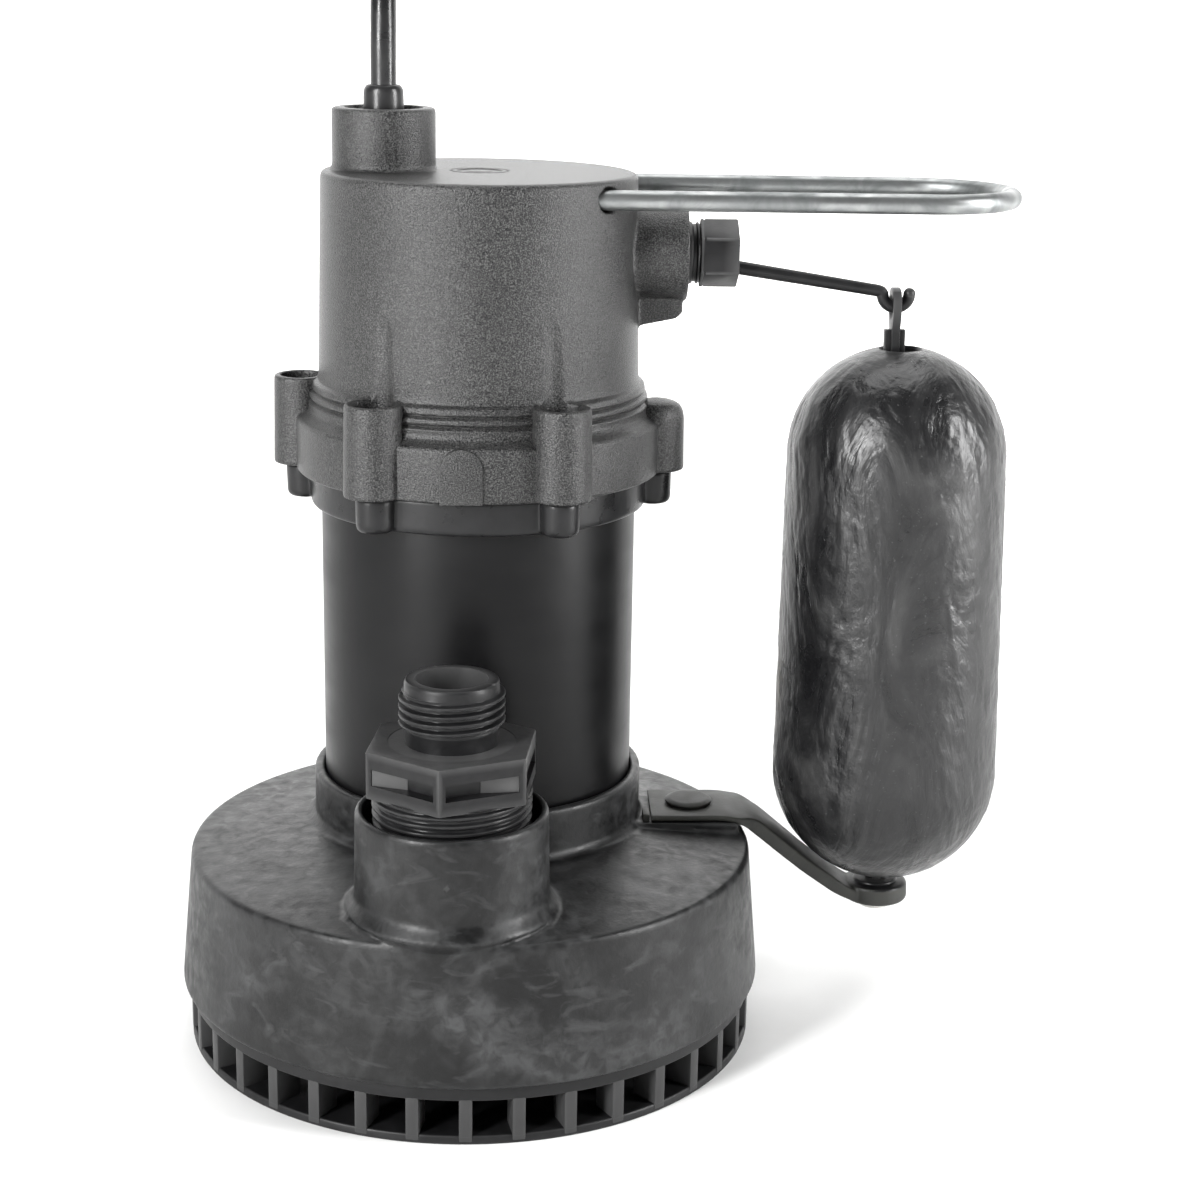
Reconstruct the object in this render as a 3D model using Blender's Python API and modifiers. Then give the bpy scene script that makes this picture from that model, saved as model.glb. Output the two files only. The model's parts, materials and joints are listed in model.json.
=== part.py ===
"""Submersible sump pump with a tethered vertical float switch.

Metres, +Z up. The origin is the motor axis on the floor plane. The switch arm and the float
hang on the +X side, the discharge fitting stands on the -Y side, and the power cord lies
wound up on the +Y side.
"""
from math import asin, atan2, cos, pi, radians, sin, sqrt

import bmesh
import bpy
from mathutils import Matrix, Vector
from mathutils.geometry import interpolate_bezier

# ---------------------------------------------------------------- driving dimensions
GAP = 0.0003                       # left between touching pieces
WELD = 0.00001
SMOOTH_ANGLE = radians(35)

# lower housing: the drum stands off the motor axis, towards the discharge
DRUM_X, DRUM_Y = -0.0014, -0.0155
SCREEN_R = 0.0787
SCREEN_TOP = 0.0158
SCREEN_FLOOR = 0.0023
SLOT_COUNT = 36
SLOT_WIDTH = 0.0103
SLOT_Z = (0.0023, 0.0122)
DRUM_R_LOW, DRUM_R_HIGH = 0.0807, 0.0778
DRUM_Z_LOW, DRUM_Z_EDGE = 0.0161, 0.0534
DRUM_Z_DECK = 0.0565               # top of the drum's shallow cone, inside the collar
DRUM_WALL = 0.0035
COLLAR_R, COLLAR_TOP = 0.0460, 0.0706

# discharge
NOZZLE_X, NOZZLE_Y = -0.0055, -0.0678
BOSS_R, BOSS_TOP = 0.0248, 0.0815
BOSS_MOUTH_R, BOSS_THREAD_R, BOSS_THROAT_R = 0.0229, 0.0211, 0.0150
HEX_R, HEX_Z = 0.0233, (0.0870, 0.0994)
HEX_TURN = radians(9.4)
NPT_R = 0.0207
HOSE_R, HOSE_BORE_R, HOSE_TOP = 0.0135, 0.00925, 0.1159

# motor
TUBE_R, TUBE_WALL = 0.0430, 0.0015
TUBE_Z = (0.0590, 0.1640)
TUBE_SEAT_TOP = 0.1655
SHAFT_R = 0.0040
STATOR_Z = (0.0800, 0.1200)

# clamp ring, cover and their six lugs
RING_R, RING_Z = 0.0459, (0.1467, 0.1559)
COVER_Z, COVER_TOP = 0.1562, 0.2361
COVER_R_LOW, COVER_R_TOP, COVER_WALL = 0.0434, 0.0422, 0.0030
FLANGE_R, FLANGE_TOP = 0.0495, 0.1695
LUG_CIRCLE_R, LUG_R, LUG_TOP = 0.0484, 0.0079, 0.1805
LUG_BORE_R, LUG_SEAT_Z, SCREW_HOLE_R = 0.0058, 0.1700, 0.0024
LUG_ANGLES = [radians(a) for a in (-33, 27, 147, 207, 267)]
CLOSED_LUG_ANGLE, CLOSED_LUG_TOP = radians(87), 0.1735
LOWER_LUG_R = 0.0052

# cord boss on the cover
CORD_X, CORD_Y = -0.0254, 0.0015
CORD_BOSS_R, CORD_BOSS_BORE_R, CORD_BOSS_TOP = 0.0138, 0.0103, 0.2522
BUSHING_TOP = 0.2580
CORD_R = 0.0034

# handle: a U of rod that lies level
HANDLE_Z, HANDLE_HALF, HANDLE_ROD_R, HANDLE_END = 0.2311, 0.0250, 0.00275, 0.1451
HANDLE_ROOT = 0.0200

# switch boss, gland and arm
SWITCH_Z = 0.2150
SWITCH_BOSS_R, SWITCH_BOSS_END = 0.0127, 0.0558
GLAND_BORE_R = 0.0084
NUT_R, NUT_X = 0.0092, (0.0591, 0.0694)
PIVOT = Vector((0.0443, 0.0, 0.2150))
ARM_R_IN, ARM_R_OUT = 0.0021, 0.00165
HOOK = Vector((0.1129, 0.0, 0.2046))
HOOK_R = 0.00365
PLUNGER_X = 0.0255

# float and its rod
ROD_TOP = Vector((0.1129, 0.0, 0.20095))     # centre of the hook's wire, where the rod hangs
ROD_FOOT = Vector((0.1154, 0.0, 0.0312))
ROD_R, STUD_R = 0.00285, 0.0022
FLOAT_TOP = Vector((0.1149, 0.0, 0.1903))
FLOAT_BOTTOM = Vector((0.1164, 0.0, 0.0371))
FLOAT_R_HIGH, FLOAT_R_LOW = 0.0303, 0.0317
FLOAT_WALL, FLOAT_BORE_R = 0.0018, 0.00555
FOOT_R = 0.0092
FOOT_CLIP_Z = -0.0031               # top of the clip under the strap's eye, from the stud's origin

# strap and the bracket that holds it
BRACKET_TOP = 0.0570
BRACKET_X = 0.0735
BRACKET_Y = (-0.0148, 0.0085)
ANCHOR_Y = (-0.0140, 0.0080)
ANCHOR_Z = (0.0573, 0.0589)
BUTTON = Vector((0.0600, -0.0030, 0.0592))
STRAP_WIDTH, STRAP_Y = 0.0150, -0.0018
STRAP_LINE = [(0.0746, 0.0570), (0.0778, 0.0552), (0.0820, 0.0516), (0.0880, 0.0466),
              (0.0940, 0.0415), (0.1000, 0.0370), (0.1026, 0.0352), (0.1040, 0.0344)]
STRAP_THICK = (0.0028, 0.0040)               # at the bracket, and along the rest
EYE_Z = (0.0296, 0.0328)
STRAP_ROOT = Vector((0.0736, 0.0, 0.0589))   # the band bends here, and at its tip
STRAP_TIP = Vector((0.1050, 0.0, 0.0312))

# wound cord
COIL = Vector((0.0, 0.122, 0.0))
COIL_MID_R, COIL_HALF_WIDTH, COIL_Z = 0.0395, 0.0098, (0.0013, 0.0290)
CORD_ROUTE = [
    (-0.0254, 0.0015, 0.2583), (-0.0254, 0.0015, 0.2620), (-0.0254, 0.0015, 0.2660),
    (-0.0254, 0.0027, 0.2748), (-0.0255, 0.0061, 0.2830), (-0.0257, 0.0115, 0.2900),
    (-0.0260, 0.0185, 0.2954), (-0.0264, 0.0267, 0.2988), (-0.0269, 0.0355, 0.3000),
    (-0.0273, 0.0443, 0.2988), (-0.0277, 0.0525, 0.2954), (-0.0281, 0.0595, 0.2900),
    (-0.0284, 0.0649, 0.2830), (-0.0286, 0.0683, 0.2748), (-0.0288, 0.0695, 0.2660),
    (-0.0294, 0.0695, 0.2400), (-0.0301, 0.0695, 0.2050), (-0.0307, 0.0695, 0.1700),
    (-0.0314, 0.0695, 0.1350), (-0.0323, 0.0695, 0.1000), (-0.0337, 0.0695, 0.0670),
    (-0.0362, 0.0695, 0.0347), (-0.0372, 0.0705, 0.0269), (-0.0383, 0.0735, 0.0197),
    (-0.0395, 0.0783, 0.0135), (-0.0407, 0.0845, 0.0087), (-0.0411, 0.0873, 0.0073)]
TAIL_ROUTE = [
    (-0.0423, 0.1374, 0.0355), (-0.0397, 0.1428, 0.0369), (-0.0360, 0.1476, 0.0379),
    (-0.0314, 0.1516, 0.0387), (-0.0261, 0.1546, 0.0391), (-0.0217, 0.1560, 0.0392)]
PLUG = Vector((-0.0055, 0.1596, 0.0392))
PLUG_TURN = radians(12)


# ---------------------------------------------------------------- scene and materials
def clear_scene():
    for old in list(bpy.data.objects):
        bpy.data.objects.remove(old, do_unlink=True)


def new_collection(name):
    collection = bpy.data.collections.new(name)
    bpy.context.scene.collection.children.link(collection)
    return collection


clear_scene()
PARTS = new_collection("sump_pump")
CUTTERS = new_collection("cutters")


def material(name, color, roughness, metallic=0.0):
    mat = bpy.data.materials.get(name) or bpy.data.materials.new(name)
    mat.use_nodes = True
    mat.diffuse_color = (*color, 1.0)
    shader = mat.node_tree.nodes["Principled BSDF"]
    shader.inputs["Base Color"].default_value = (*color, 1.0)
    shader.inputs["Roughness"].default_value = roughness
    shader.inputs["Metallic"].default_value = metallic
    return mat


MATERIALS = {
    "housing": material("housing_plastic", (0.045, 0.047, 0.050), 0.55),
    "cover": material("cover_plastic", (0.075, 0.076, 0.076), 0.45),
    "fitting": material("fitting_plastic", (0.030, 0.031, 0.033), 0.45),
    "can": material("black_paint", (0.015, 0.015, 0.016), 0.35),
    "zinc": material("zinc_plate", (0.62, 0.63, 0.62), 0.35, 1.0),
    "steel": material("bright_steel", (0.55, 0.55, 0.56), 0.30, 1.0),
    "rubber": material("black_rubber", (0.030, 0.030, 0.030), 0.70),
    "strap": material("olive_rubber", (0.070, 0.072, 0.060), 0.70),
    "float": material("float_plastic", (0.025, 0.025, 0.026), 0.35),
    "copper": material("enamelled_copper", (0.60, 0.25, 0.12), 0.40, 1.0),
    "iron": material("laminated_iron", (0.30, 0.30, 0.31), 0.50, 1.0),
    "brass": material("plug_brass", (0.70, 0.56, 0.30), 0.30, 1.0),
    "impeller": material("impeller_plastic", (0.10, 0.10, 0.10), 0.45),
    "switch": material("switch_plastic", (0.30, 0.05, 0.03), 0.45),
}


# ---------------------------------------------------------------- modelling helpers
def add_object(name, data, slot=None, cutter=False):
    obj = bpy.data.objects.new(name, data)
    if cutter:
        CUTTERS.objects.link(obj)
        obj.hide_render = True
        obj.display_type = "WIRE"
    else:
        PARTS.objects.link(obj)
        data.materials.append(MATERIALS[slot])
    return obj


def mesh_of(guide):
    """The guide's evaluated mesh with its loose ends welded. The guide itself goes."""
    CUTTERS.objects.link(guide)
    bpy.context.view_layer.update()
    evaluated = guide.evaluated_get(bpy.context.evaluated_depsgraph_get())
    bm = bmesh.new()
    bm.from_mesh(bpy.data.meshes.new_from_object(evaluated))
    bmesh.ops.remove_doubles(bm, verts=bm.verts, dist=WELD)
    bpy.data.objects.remove(guide)
    return bm


def finish_mesh(bm, name, smooth=True):
    bmesh.ops.recalc_face_normals(bm, faces=bm.faces)
    mesh = bpy.data.meshes.new(name)
    bm.to_mesh(mesh)
    bm.free()
    if smooth:
        mesh.shade_smooth()
        mesh.set_sharp_from_angle(angle=SMOOTH_ANGLE)
    return mesh


def turned(name, profile, slot=None, steps=48, closed=True, cutter=False, place=None):
    """A solid of revolution about Z, from a profile that runs down its outer side. A closed
    profile is a ring's section, an open one starts and ends on the axis."""
    section = bpy.data.meshes.new(name + "_section")
    edges = [(i, i + 1) for i in range(len(profile) - 1)]
    if closed:
        edges.append((len(profile) - 1, 0))
    section.from_pydata([(r, 0.0, z) for r, z in profile], edges, [])
    guide = bpy.data.objects.new(name + "_section", section)
    screw = guide.modifiers.new("turn", "SCREW")
    screw.steps = steps
    screw.render_steps = steps
    screw.use_merge_vertices = True
    screw.merge_threshold = WELD
    obj = add_object(name, finish_mesh(mesh_of(guide), name), slot, cutter)
    if place is not None:
        obj.matrix_world = place
    return obj


def disc_profile(radius, z_low, z_high):
    return [(0.0, z_high), (radius, z_high), (radius, z_low), (0.0, z_low)]


def ring_profile(inner, outer, z_low, z_high, chamfer=0.0):
    if chamfer:
        return [(inner, z_high), (outer - chamfer, z_high), (outer, z_high - chamfer),
                (outer, z_low + chamfer), (outer - chamfer, z_low), (inner, z_low)]
    return [(inner, z_high), (outer, z_high), (outer, z_low), (inner, z_low)]


def rod(name, radius, z_low, z_high, slot=None, steps=24, cutter=False, place=None):
    return turned(name, disc_profile(radius, z_low, z_high), slot, steps, False, cutter, place)


def box(name, low, high, slot=None, cutter=False, bevel=0.0, place=None):
    bm = bmesh.new()
    size = [h - l for l, h in zip(low, high)]
    centre = Vector([(h + l) / 2 for l, h in zip(low, high)])
    bmesh.ops.create_cube(bm, size=1.0)
    bmesh.ops.scale(bm, vec=size, verts=bm.verts)
    bmesh.ops.translate(bm, vec=centre, verts=bm.verts)
    if bevel:
        bmesh.ops.bevel(bm, geom=bm.edges[:], offset=bevel, segments=1, affect="EDGES")
    obj = add_object(name, finish_mesh(bm, name, smooth=False), slot, cutter)
    if place is not None:
        obj.matrix_world = place
    return obj


def prism(name, sides, radius, z_low, z_high, turn=0.0, slot=None, cutter=False, place=None):
    bm = bmesh.new()
    bmesh.ops.create_cone(bm, cap_ends=True, segments=sides, radius1=radius, radius2=radius,
                          depth=z_high - z_low)
    spin = Matrix.Rotation(turn, 4, "Z")
    bmesh.ops.transform(bm, matrix=Matrix.Translation((0, 0, (z_low + z_high) / 2)) @ spin,
                        verts=bm.verts)
    obj = add_object(name, finish_mesh(bm, name, smooth=False), slot, cutter)
    if place is not None:
        obj.matrix_world = place
    return obj


def combine(target, tools, operation):
    """Joins all the tools to the target, or cuts them all from it, in one Boolean."""
    group = bpy.data.collections.new(f"{target.name}_{operation.lower()}")
    CUTTERS.children.link(group)
    for tool in tools:
        CUTTERS.objects.unlink(tool)
        group.objects.link(tool)
    modifier = target.modifiers.new(operation.lower(), "BOOLEAN")
    modifier.operation = operation
    modifier.solver = "EXACT"
    modifier.operand_type = "COLLECTION"
    modifier.collection = group


def join(target, *tools):
    combine(target, tools, "UNION")


def cut(target, *tools):
    combine(target, tools, "DIFFERENCE")


def plate(name, outline, axis, centre, thickness, slot=None, cutter=False, holes=()):
    """A flat outline extruded by its thickness. axis "Y" takes the outline in XZ and centre as
    its middle y, axis "X" takes it in YZ, and axis "Z" in XY."""
    curve = bpy.data.curves.new(name, "CURVE")
    curve.dimensions = "2D"
    curve.fill_mode = "BOTH"
    curve.extrude = thickness / 2
    for loop in [outline, *holes]:
        spline = curve.splines.new("POLY")
        spline.points.add(len(loop) - 1)
        for point, (u, v) in zip(spline.points, loop):
            point.co = (u, v, 0.0, 1.0)
        spline.use_cyclic_u = True
    bm = mesh_of(bpy.data.objects.new(name + "_outline", curve))
    stand = {"Y": Matrix.Translation((0, centre, 0)) @ Matrix.Rotation(pi / 2, 4, "X"),
             "X": Matrix.Translation((centre, 0, 0)) @ Matrix(((0, 0, 1, 0), (1, 0, 0, 0),
                                                               (0, 1, 0, 0), (0, 0, 0, 1))),
             "Z": Matrix.Translation((0, 0, centre))}[axis]
    bmesh.ops.transform(bm, matrix=stand, verts=bm.verts)
    return add_object(name, finish_mesh(bm, name, smooth=False), slot, cutter)


def tube_curve(name, points, radius, slot, resolution=2, radii=None):
    """A round rod or cord through the points, with closed ends."""
    curve = bpy.data.curves.new(name, "CURVE")
    curve.dimensions = "3D"
    curve.bevel_depth = radius
    curve.bevel_resolution = resolution
    curve.use_fill_caps = True
    spline = curve.splines.new("POLY")
    spline.points.add(len(points) - 1)
    for index, point in enumerate(points):
        spline.points[index].co = (*point, 1.0)
        spline.points[index].radius = radii[index] if radii else 1.0
    guide = bpy.data.objects.new(name + "_line", curve)
    return add_object(name, finish_mesh(mesh_of(guide), name), slot)


def smooth_line(route, spacing):
    """Points a spacing apart on one smooth curve through the route."""
    pts = [Vector(p) for p in route]
    fine = [pts[0]]
    for i in range(len(pts) - 1):
        before = pts[max(i - 1, 0)]
        after = pts[min(i + 2, len(pts) - 1)]
        start, end = pts[i], pts[i + 1]
        span = (end - start).length
        lean_in = (end - before).normalized() * span / 3
        lean_out = (after - start).normalized() * span / 3
        fine += interpolate_bezier(start, start + lean_in, end - lean_out, end, 12)[1:]
    total = sum((b - a).length for a, b in zip(fine, fine[1:]))
    count = max(2, round(total / spacing))
    line, target, walked = [fine[0]], total / count, 0.0
    for a, b in zip(fine, fine[1:]):
        step = (b - a).length
        while walked + step >= target * len(line) - 1e-9 and len(line) < count:
            line.append(a.lerp(b, (target * len(line) - walked) / step))
        walked += step
    return line + [fine[-1]]


def along_x(x, y=0.0, z=0.0):
    """Lays a piece made about Z along +X, with its z = 0 at (x, y, z)."""
    return Matrix.Translation((x, y, z)) @ Matrix.Rotation(pi / 2, 4, "Y")


def at(x, y, z=0.0):
    return Matrix.Translation((x, y, z))


def around(radius, angle):
    """A point on a circle about the motor axis, its angle measured from -Y towards +X."""
    return radius * sin(angle), -radius * cos(angle)


def tilted(bottom, top):
    """Stands a piece made about Z on the line from bottom to top."""
    turn = Vector((0, 0, 1)).rotation_difference((top - bottom).normalized())
    return Matrix.Translation(bottom) @ turn.to_matrix().to_4x4()


def hang(name, point, *pieces):
    """Parents the pieces to an empty on the axis that they turn about."""
    pivot = bpy.data.objects.new(name, None)
    PARTS.objects.link(pivot)
    pivot.location = point
    for piece in pieces:
        piece.parent = pivot
        piece.matrix_parent_inverse = Matrix.Translation(point).inverted()


# ---------------------------------------------------------------- lower housing
def intake_screen():
    wall = 0.0030
    profile = [(0.0, SCREEN_FLOOR), (SCREEN_R - wall, SCREEN_FLOOR), (SCREEN_R - wall, SCREEN_TOP),
               (SCREEN_R, SCREEN_TOP), (SCREEN_R, 0.0), (0.0, 0.0)]
    screen = turned("intake_screen", profile, "housing", SLOT_COUNT, False,
                    place=at(DRUM_X, DRUM_Y))
    slots = bmesh.new()
    for index in range(SLOT_COUNT):
        made = bmesh.ops.create_cube(slots, size=1.0)["verts"]
        bmesh.ops.scale(slots, vec=(SLOT_WIDTH, 3 * wall, SLOT_Z[1] - SLOT_Z[0] - GAP), verts=made)
        height = (SLOT_Z[1] + SLOT_Z[0] + GAP) / 2
        bmesh.ops.translate(slots, vec=(0, -SCREEN_R + wall / 2, height), verts=made)
        bmesh.ops.rotate(slots, cent=(0, 0, 0), verts=made,
                         matrix=Matrix.Rotation(2 * pi * (index + 0.5) / SLOT_COUNT, 3, "Z"))
    cutter = add_object("slot_cutter", finish_mesh(slots, "slot_cutter", False), cutter=True)
    cutter.matrix_world = at(DRUM_X, DRUM_Y)
    posts, bores = [], [cutter]
    for number, (x, y) in enumerate(screw_places(), 1):
        posts.append(rod(f"screen_post_{number}", 0.0055, 0.0010, SCREEN_TOP, steps=12,
                         cutter=True, place=at(x, y)))
        bores.append(turned(f"screen_bore_{number}",
                            [(0.0, SCREEN_TOP + 0.001), (0.0023, SCREEN_TOP + 0.001),
                             (0.0023, 0.0060), (0.0040, 0.0060), (0.0040, -0.001),
                             (0.0, -0.001)],
                            steps=10, closed=False, cutter=True, place=at(x, y)))
    join(screen, *posts)
    cut(screen, *bores)


def screw_places():
    return [(DRUM_X + 0.058 * cos(a), DRUM_Y + 0.058 * sin(a))
            for a in (pi / 4, 3 * pi / 4, 5 * pi / 4, 7 * pi / 4)]


def housing_screws():
    for number, (x, y) in enumerate(screw_places(), 1):
        rod_profile = [(0.0, 0.0245), (0.0019, 0.0245), (0.0019, 0.0057), (0.0036, 0.0057),
                       (0.0036, 0.0028), (0.0012, 0.0028), (0.0012, 0.0040), (0.0, 0.0040)]
        turned(f"housing_screw_{number}", rod_profile, "steel", 10, False, place=at(x, y))


def volute_plate():
    """Floor of the pump chamber, with the inlet eye under the impeller."""
    low, high = DRUM_Z_LOW + GAP, DRUM_Z_LOW + 0.0030
    body = rod("volute_plate", DRUM_R_LOW - DRUM_WALL - 3 * GAP, low, high, "housing", 40,
               place=at(DRUM_X, DRUM_Y))
    holes = [rod(f"plate_hole_{number}", 0.0023, 0.0, 0.03, steps=8, cutter=True, place=at(x, y))
             for number, (x, y) in enumerate(screw_places(), 1)]
    cut(body, rod("eye_cutter", 0.0130, 0.0, 0.03, steps=24, cutter=True), *holes)


def volute_housing():
    """Drum, collar round the motor, discharge boss and strap bracket, moulded in one."""
    deck_r = 0.0400
    roof = DRUM_Z_EDGE - DRUM_WALL
    inner_top = DRUM_R_HIGH - DRUM_WALL
    profile = [(0.0, DRUM_Z_DECK), (deck_r, DRUM_Z_DECK), (DRUM_R_HIGH - 0.0012, DRUM_Z_EDGE),
               (DRUM_R_HIGH, DRUM_Z_EDGE - 0.0010), (DRUM_R_LOW, DRUM_Z_LOW),
               (DRUM_R_LOW - DRUM_WALL, DRUM_Z_LOW), (inner_top, roof), (0.0, roof)]
    drum = turned("volute_housing", profile, "housing", 48, False, place=at(DRUM_X, DRUM_Y))
    inside = roof + 0.0010
    added = [
        rod("collar_solid", COLLAR_R, inside, COLLAR_TOP, steps=32, cutter=True),
        rod("boss_solid", BOSS_R, inside, BOSS_TOP, steps=24, cutter=True,
            place=at(NOZZLE_X, NOZZLE_Y)),
        box("bracket_solid", (0.0420, BRACKET_Y[0], inside),
            (BRACKET_X, BRACKET_Y[1], BRACKET_TOP), cutter=True),
        turned("chamber_solid", ring_profile(0.0380, 0.0410, DRUM_Z_LOW + 0.0034, inside),
               steps=28, cutter=True)]
    removed = [
        rod("tube_seat", TUBE_R + GAP, DRUM_Z_DECK + 0.0001, 0.10, steps=32, cutter=True),
        turned("outlet_bore",
               [(0.0, 0.09), (BOSS_MOUTH_R, 0.09), (BOSS_MOUTH_R, 0.0745),
                (BOSS_THREAD_R, 0.0735), (BOSS_THREAD_R, 0.0600), (BOSS_THROAT_R, 0.0600),
                (BOSS_THROAT_R, 0.0400), (0.0, 0.0400)],
               steps=20, closed=False, cutter=True, place=at(NOZZLE_X, NOZZLE_Y)),
        rod("seal_seat", 0.0090, 0.04, 0.07, steps=16, cutter=True),
        box("volute_gate", (-0.0160, -0.0500, DRUM_Z_LOW), (0.0060, -0.0300, roof - 0.004),
            cutter=True),
        rod("button_hole", 0.0022, 0.0, 0.08, steps=12, cutter=True,
            place=at(BUTTON.x, BUTTON.y))]
    for number, (x, y) in enumerate(screw_places(), 1):
        added.append(rod(f"thread_post_{number}", 0.0050, DRUM_Z_LOW + 0.0034, inside, steps=8,
                         cutter=True, place=at(x, y)))
        removed.append(rod(f"thread_bore_{number}", 0.0022, 0.010, 0.0260, steps=8, cutter=True,
                           place=at(x, y)))
    join(drum, *added)
    cut(drum, *removed)


def discharge_adapter():
    """1 1/4 pipe thread below, hexagon, 3/4 garden-hose thread on top."""
    pitch = 0.0022
    crest = []
    thread_top = HOSE_TOP - 0.0030
    for turn in range(4):
        z = thread_top - turn * pitch
        crest += [(HOSE_R, z), (HOSE_R, z - 0.0009), (HOSE_R - 0.0011, z - 0.0015)]
    profile = ([(HOSE_BORE_R, HOSE_TOP), (0.0118, HOSE_TOP), (0.0121, HOSE_TOP - 0.0004),
                (0.0121, thread_top + 0.0008)] + crest
               + [(0.0121, thread_top - 4 * pitch), (0.0121, HEX_Z[1] - 0.001),
                  (0.0190, HEX_Z[1] - 0.001), (0.0190, HEX_Z[0] + 0.001),
                  (NPT_R, HEX_Z[0] + 0.001), (NPT_R - 0.0006, 0.0620), (0.0165, 0.0620),
                  (0.0165, HEX_Z[0] - 0.004), (HOSE_BORE_R, HEX_Z[0] + 0.001)])
    adapter = turned("discharge_adapter", profile, "fitting", 20, place=at(NOZZLE_X, NOZZLE_Y))
    join(adapter, prism("hexagon", 6, HEX_R, *HEX_Z, turn=-pi / 2 + HEX_TURN, cutter=True,
                        place=at(NOZZLE_X, NOZZLE_Y)))
    apothem = HEX_R * cos(pi / 6)
    removed = [rod("adapter_bore", HOSE_BORE_R, 0.05, 0.13, steps=20, cutter=True,
                   place=at(NOZZLE_X, NOZZLE_Y))]
    for face in range(6):
        angle = -pi / 2 + HEX_TURN + pi / 6 + face * pi / 3
        turn = at(NOZZLE_X, NOZZLE_Y) @ Matrix.Rotation(angle, 4, "Z")
        removed.append(box(f"hex_pocket_{face}", (apothem - 0.0030, -0.0078, HEX_Z[0] + 0.0035),
                           (apothem + 0.001, 0.0078, HEX_Z[1] - 0.0045), cutter=True, place=turn))
    cut(adapter, *removed)


# ---------------------------------------------------------------- motor
def motor_shell():
    turned("motor_tube", ring_profile(TUBE_R - TUBE_WALL, TUBE_R, *TUBE_Z), "can", 32)
    turned("housing_o_ring", [(0.0422 + 0.0009 * cos(a), 0.0578 + 0.0009 * sin(a))
                              for a in (pi * k / 2 for k in range(4, 0, -1))], "rubber", 28)


def motor_inside():
    bore = TUBE_R - TUBE_WALL - GAP
    bell = [(0.0102, 0.0720), (bore, 0.0720), (bore, 0.0590), (0.0400, 0.0572), (0.0095, 0.0572),
            (0.0095, 0.0610), (0.0135, 0.0610), (0.0135, 0.0680), (0.0102, 0.0680)]
    turned("lower_end_bell", bell, "iron", 32)
    turned("lower_bearing", ring_profile(SHAFT_R + GAP, 0.0132, 0.0613, 0.0677), "steel", 24)
    turned("shaft_seal", ring_profile(SHAFT_R + GAP, 0.0087, 0.0505, 0.0560), "rubber", 24)
    turned("stator_core", ring_profile(0.0225, bore, *STATOR_Z), "iron", 32)
    lower = [(0.0240, 0.0797), (0.0385, 0.0797), (0.0385, 0.0755), (0.0355, 0.0730),
             (0.0270, 0.0730), (0.0240, 0.0755)]
    turned("stator_winding_lower", lower, "copper", 28)
    upper = [(0.0240, 0.1270), (0.0270, 0.1300), (0.0355, 0.1300), (0.0385, 0.1270),
             (0.0385, 0.1203), (0.0240, 0.1203)]
    turned("stator_winding_upper", upper, "copper", 28)
    bearing_plate = [(0.0102, 0.1460), (0.0150, 0.1460), (0.0170, 0.1400), (bore, 0.1400),
                     (bore, 0.1360), (0.0135, 0.1360), (0.0135, 0.1435), (0.0102, 0.1435)]
    turned("upper_bearing_plate", bearing_plate, "iron", 32)
    turned("upper_bearing", ring_profile(SHAFT_R + GAP, 0.0132, 0.1368, 0.1432), "steel", 24)
    box("thermal_protector", (-0.008, 0.024, 0.1304), (0.008, 0.034, 0.1345), "switch",
        bevel=0.0008)


def rotor_parts():
    rod("motor_shaft", SHAFT_R, 0.0260, 0.1445, "steel", 24)
    turned("rotor", ring_profile(SHAFT_R + GAP, 0.0219, 0.0790, 0.1210), "iron", 28)
    hub = turned("impeller", [(0.0, 0.0430), (0.0090, 0.0430), (0.0090, 0.0400), (0.0340, 0.0400),
                              (0.0340, 0.0375), (0.0085, 0.0375), (0.0060, 0.0225),
                              (0.0, 0.0215)], "impeller", 28, False)
    vane_count = 6
    vanes = []
    for index in range(vane_count):
        lean = Matrix.Rotation(2 * pi * index / vane_count, 4, "Z") @ at(0.0050, 0) \
            @ Matrix.Rotation(radians(32), 4, "Z")
        vanes.append(box(f"vane_{index}", (0.0, -0.0010, 0.0235), (0.0265, 0.0010, 0.0380),
                         cutter=True, place=lean))
    join(hub, *vanes)
    cut(hub, rod("impeller_bore", SHAFT_R + GAP, 0.0257, 0.05, steps=24, cutter=True))


# ---------------------------------------------------------------- clamp ring and cover
def lower_clamp_ring():
    ring = turned("lower_clamp_ring", ring_profile(0.0415, RING_R, *RING_Z), "fitting", 32)
    lugs = []
    for number, angle in enumerate([*LUG_ANGLES, CLOSED_LUG_ANGLE], 1):
        lug_top = RING_Z[1] - 0.0002
        lug_low = RING_Z[0] + 0.0002
        lugs.append(turned(f"lower_lug_{number}",
                           [(0.0, lug_top), (LOWER_LUG_R, lug_top), (LOWER_LUG_R, lug_low + 0.0012),
                            (LOWER_LUG_R - 0.0014, lug_low), (0.0, lug_low)],
                           steps=10, closed=False, cutter=True,
                           place=at(*around(0.0478, angle))))
    join(ring, *lugs)
    bores = [rod(f"lower_lug_bore_{number}", 0.0022, RING_Z[0] + 0.0015, 0.20, steps=8,
                 cutter=True, place=at(*around(LUG_CIRCLE_R, angle)))
             for number, angle in enumerate(LUG_ANGLES, 1)]
    cut(ring, rod("ring_bore", TUBE_R + GAP, 0.10, 0.20, steps=32, cutter=True), *bores)


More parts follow.
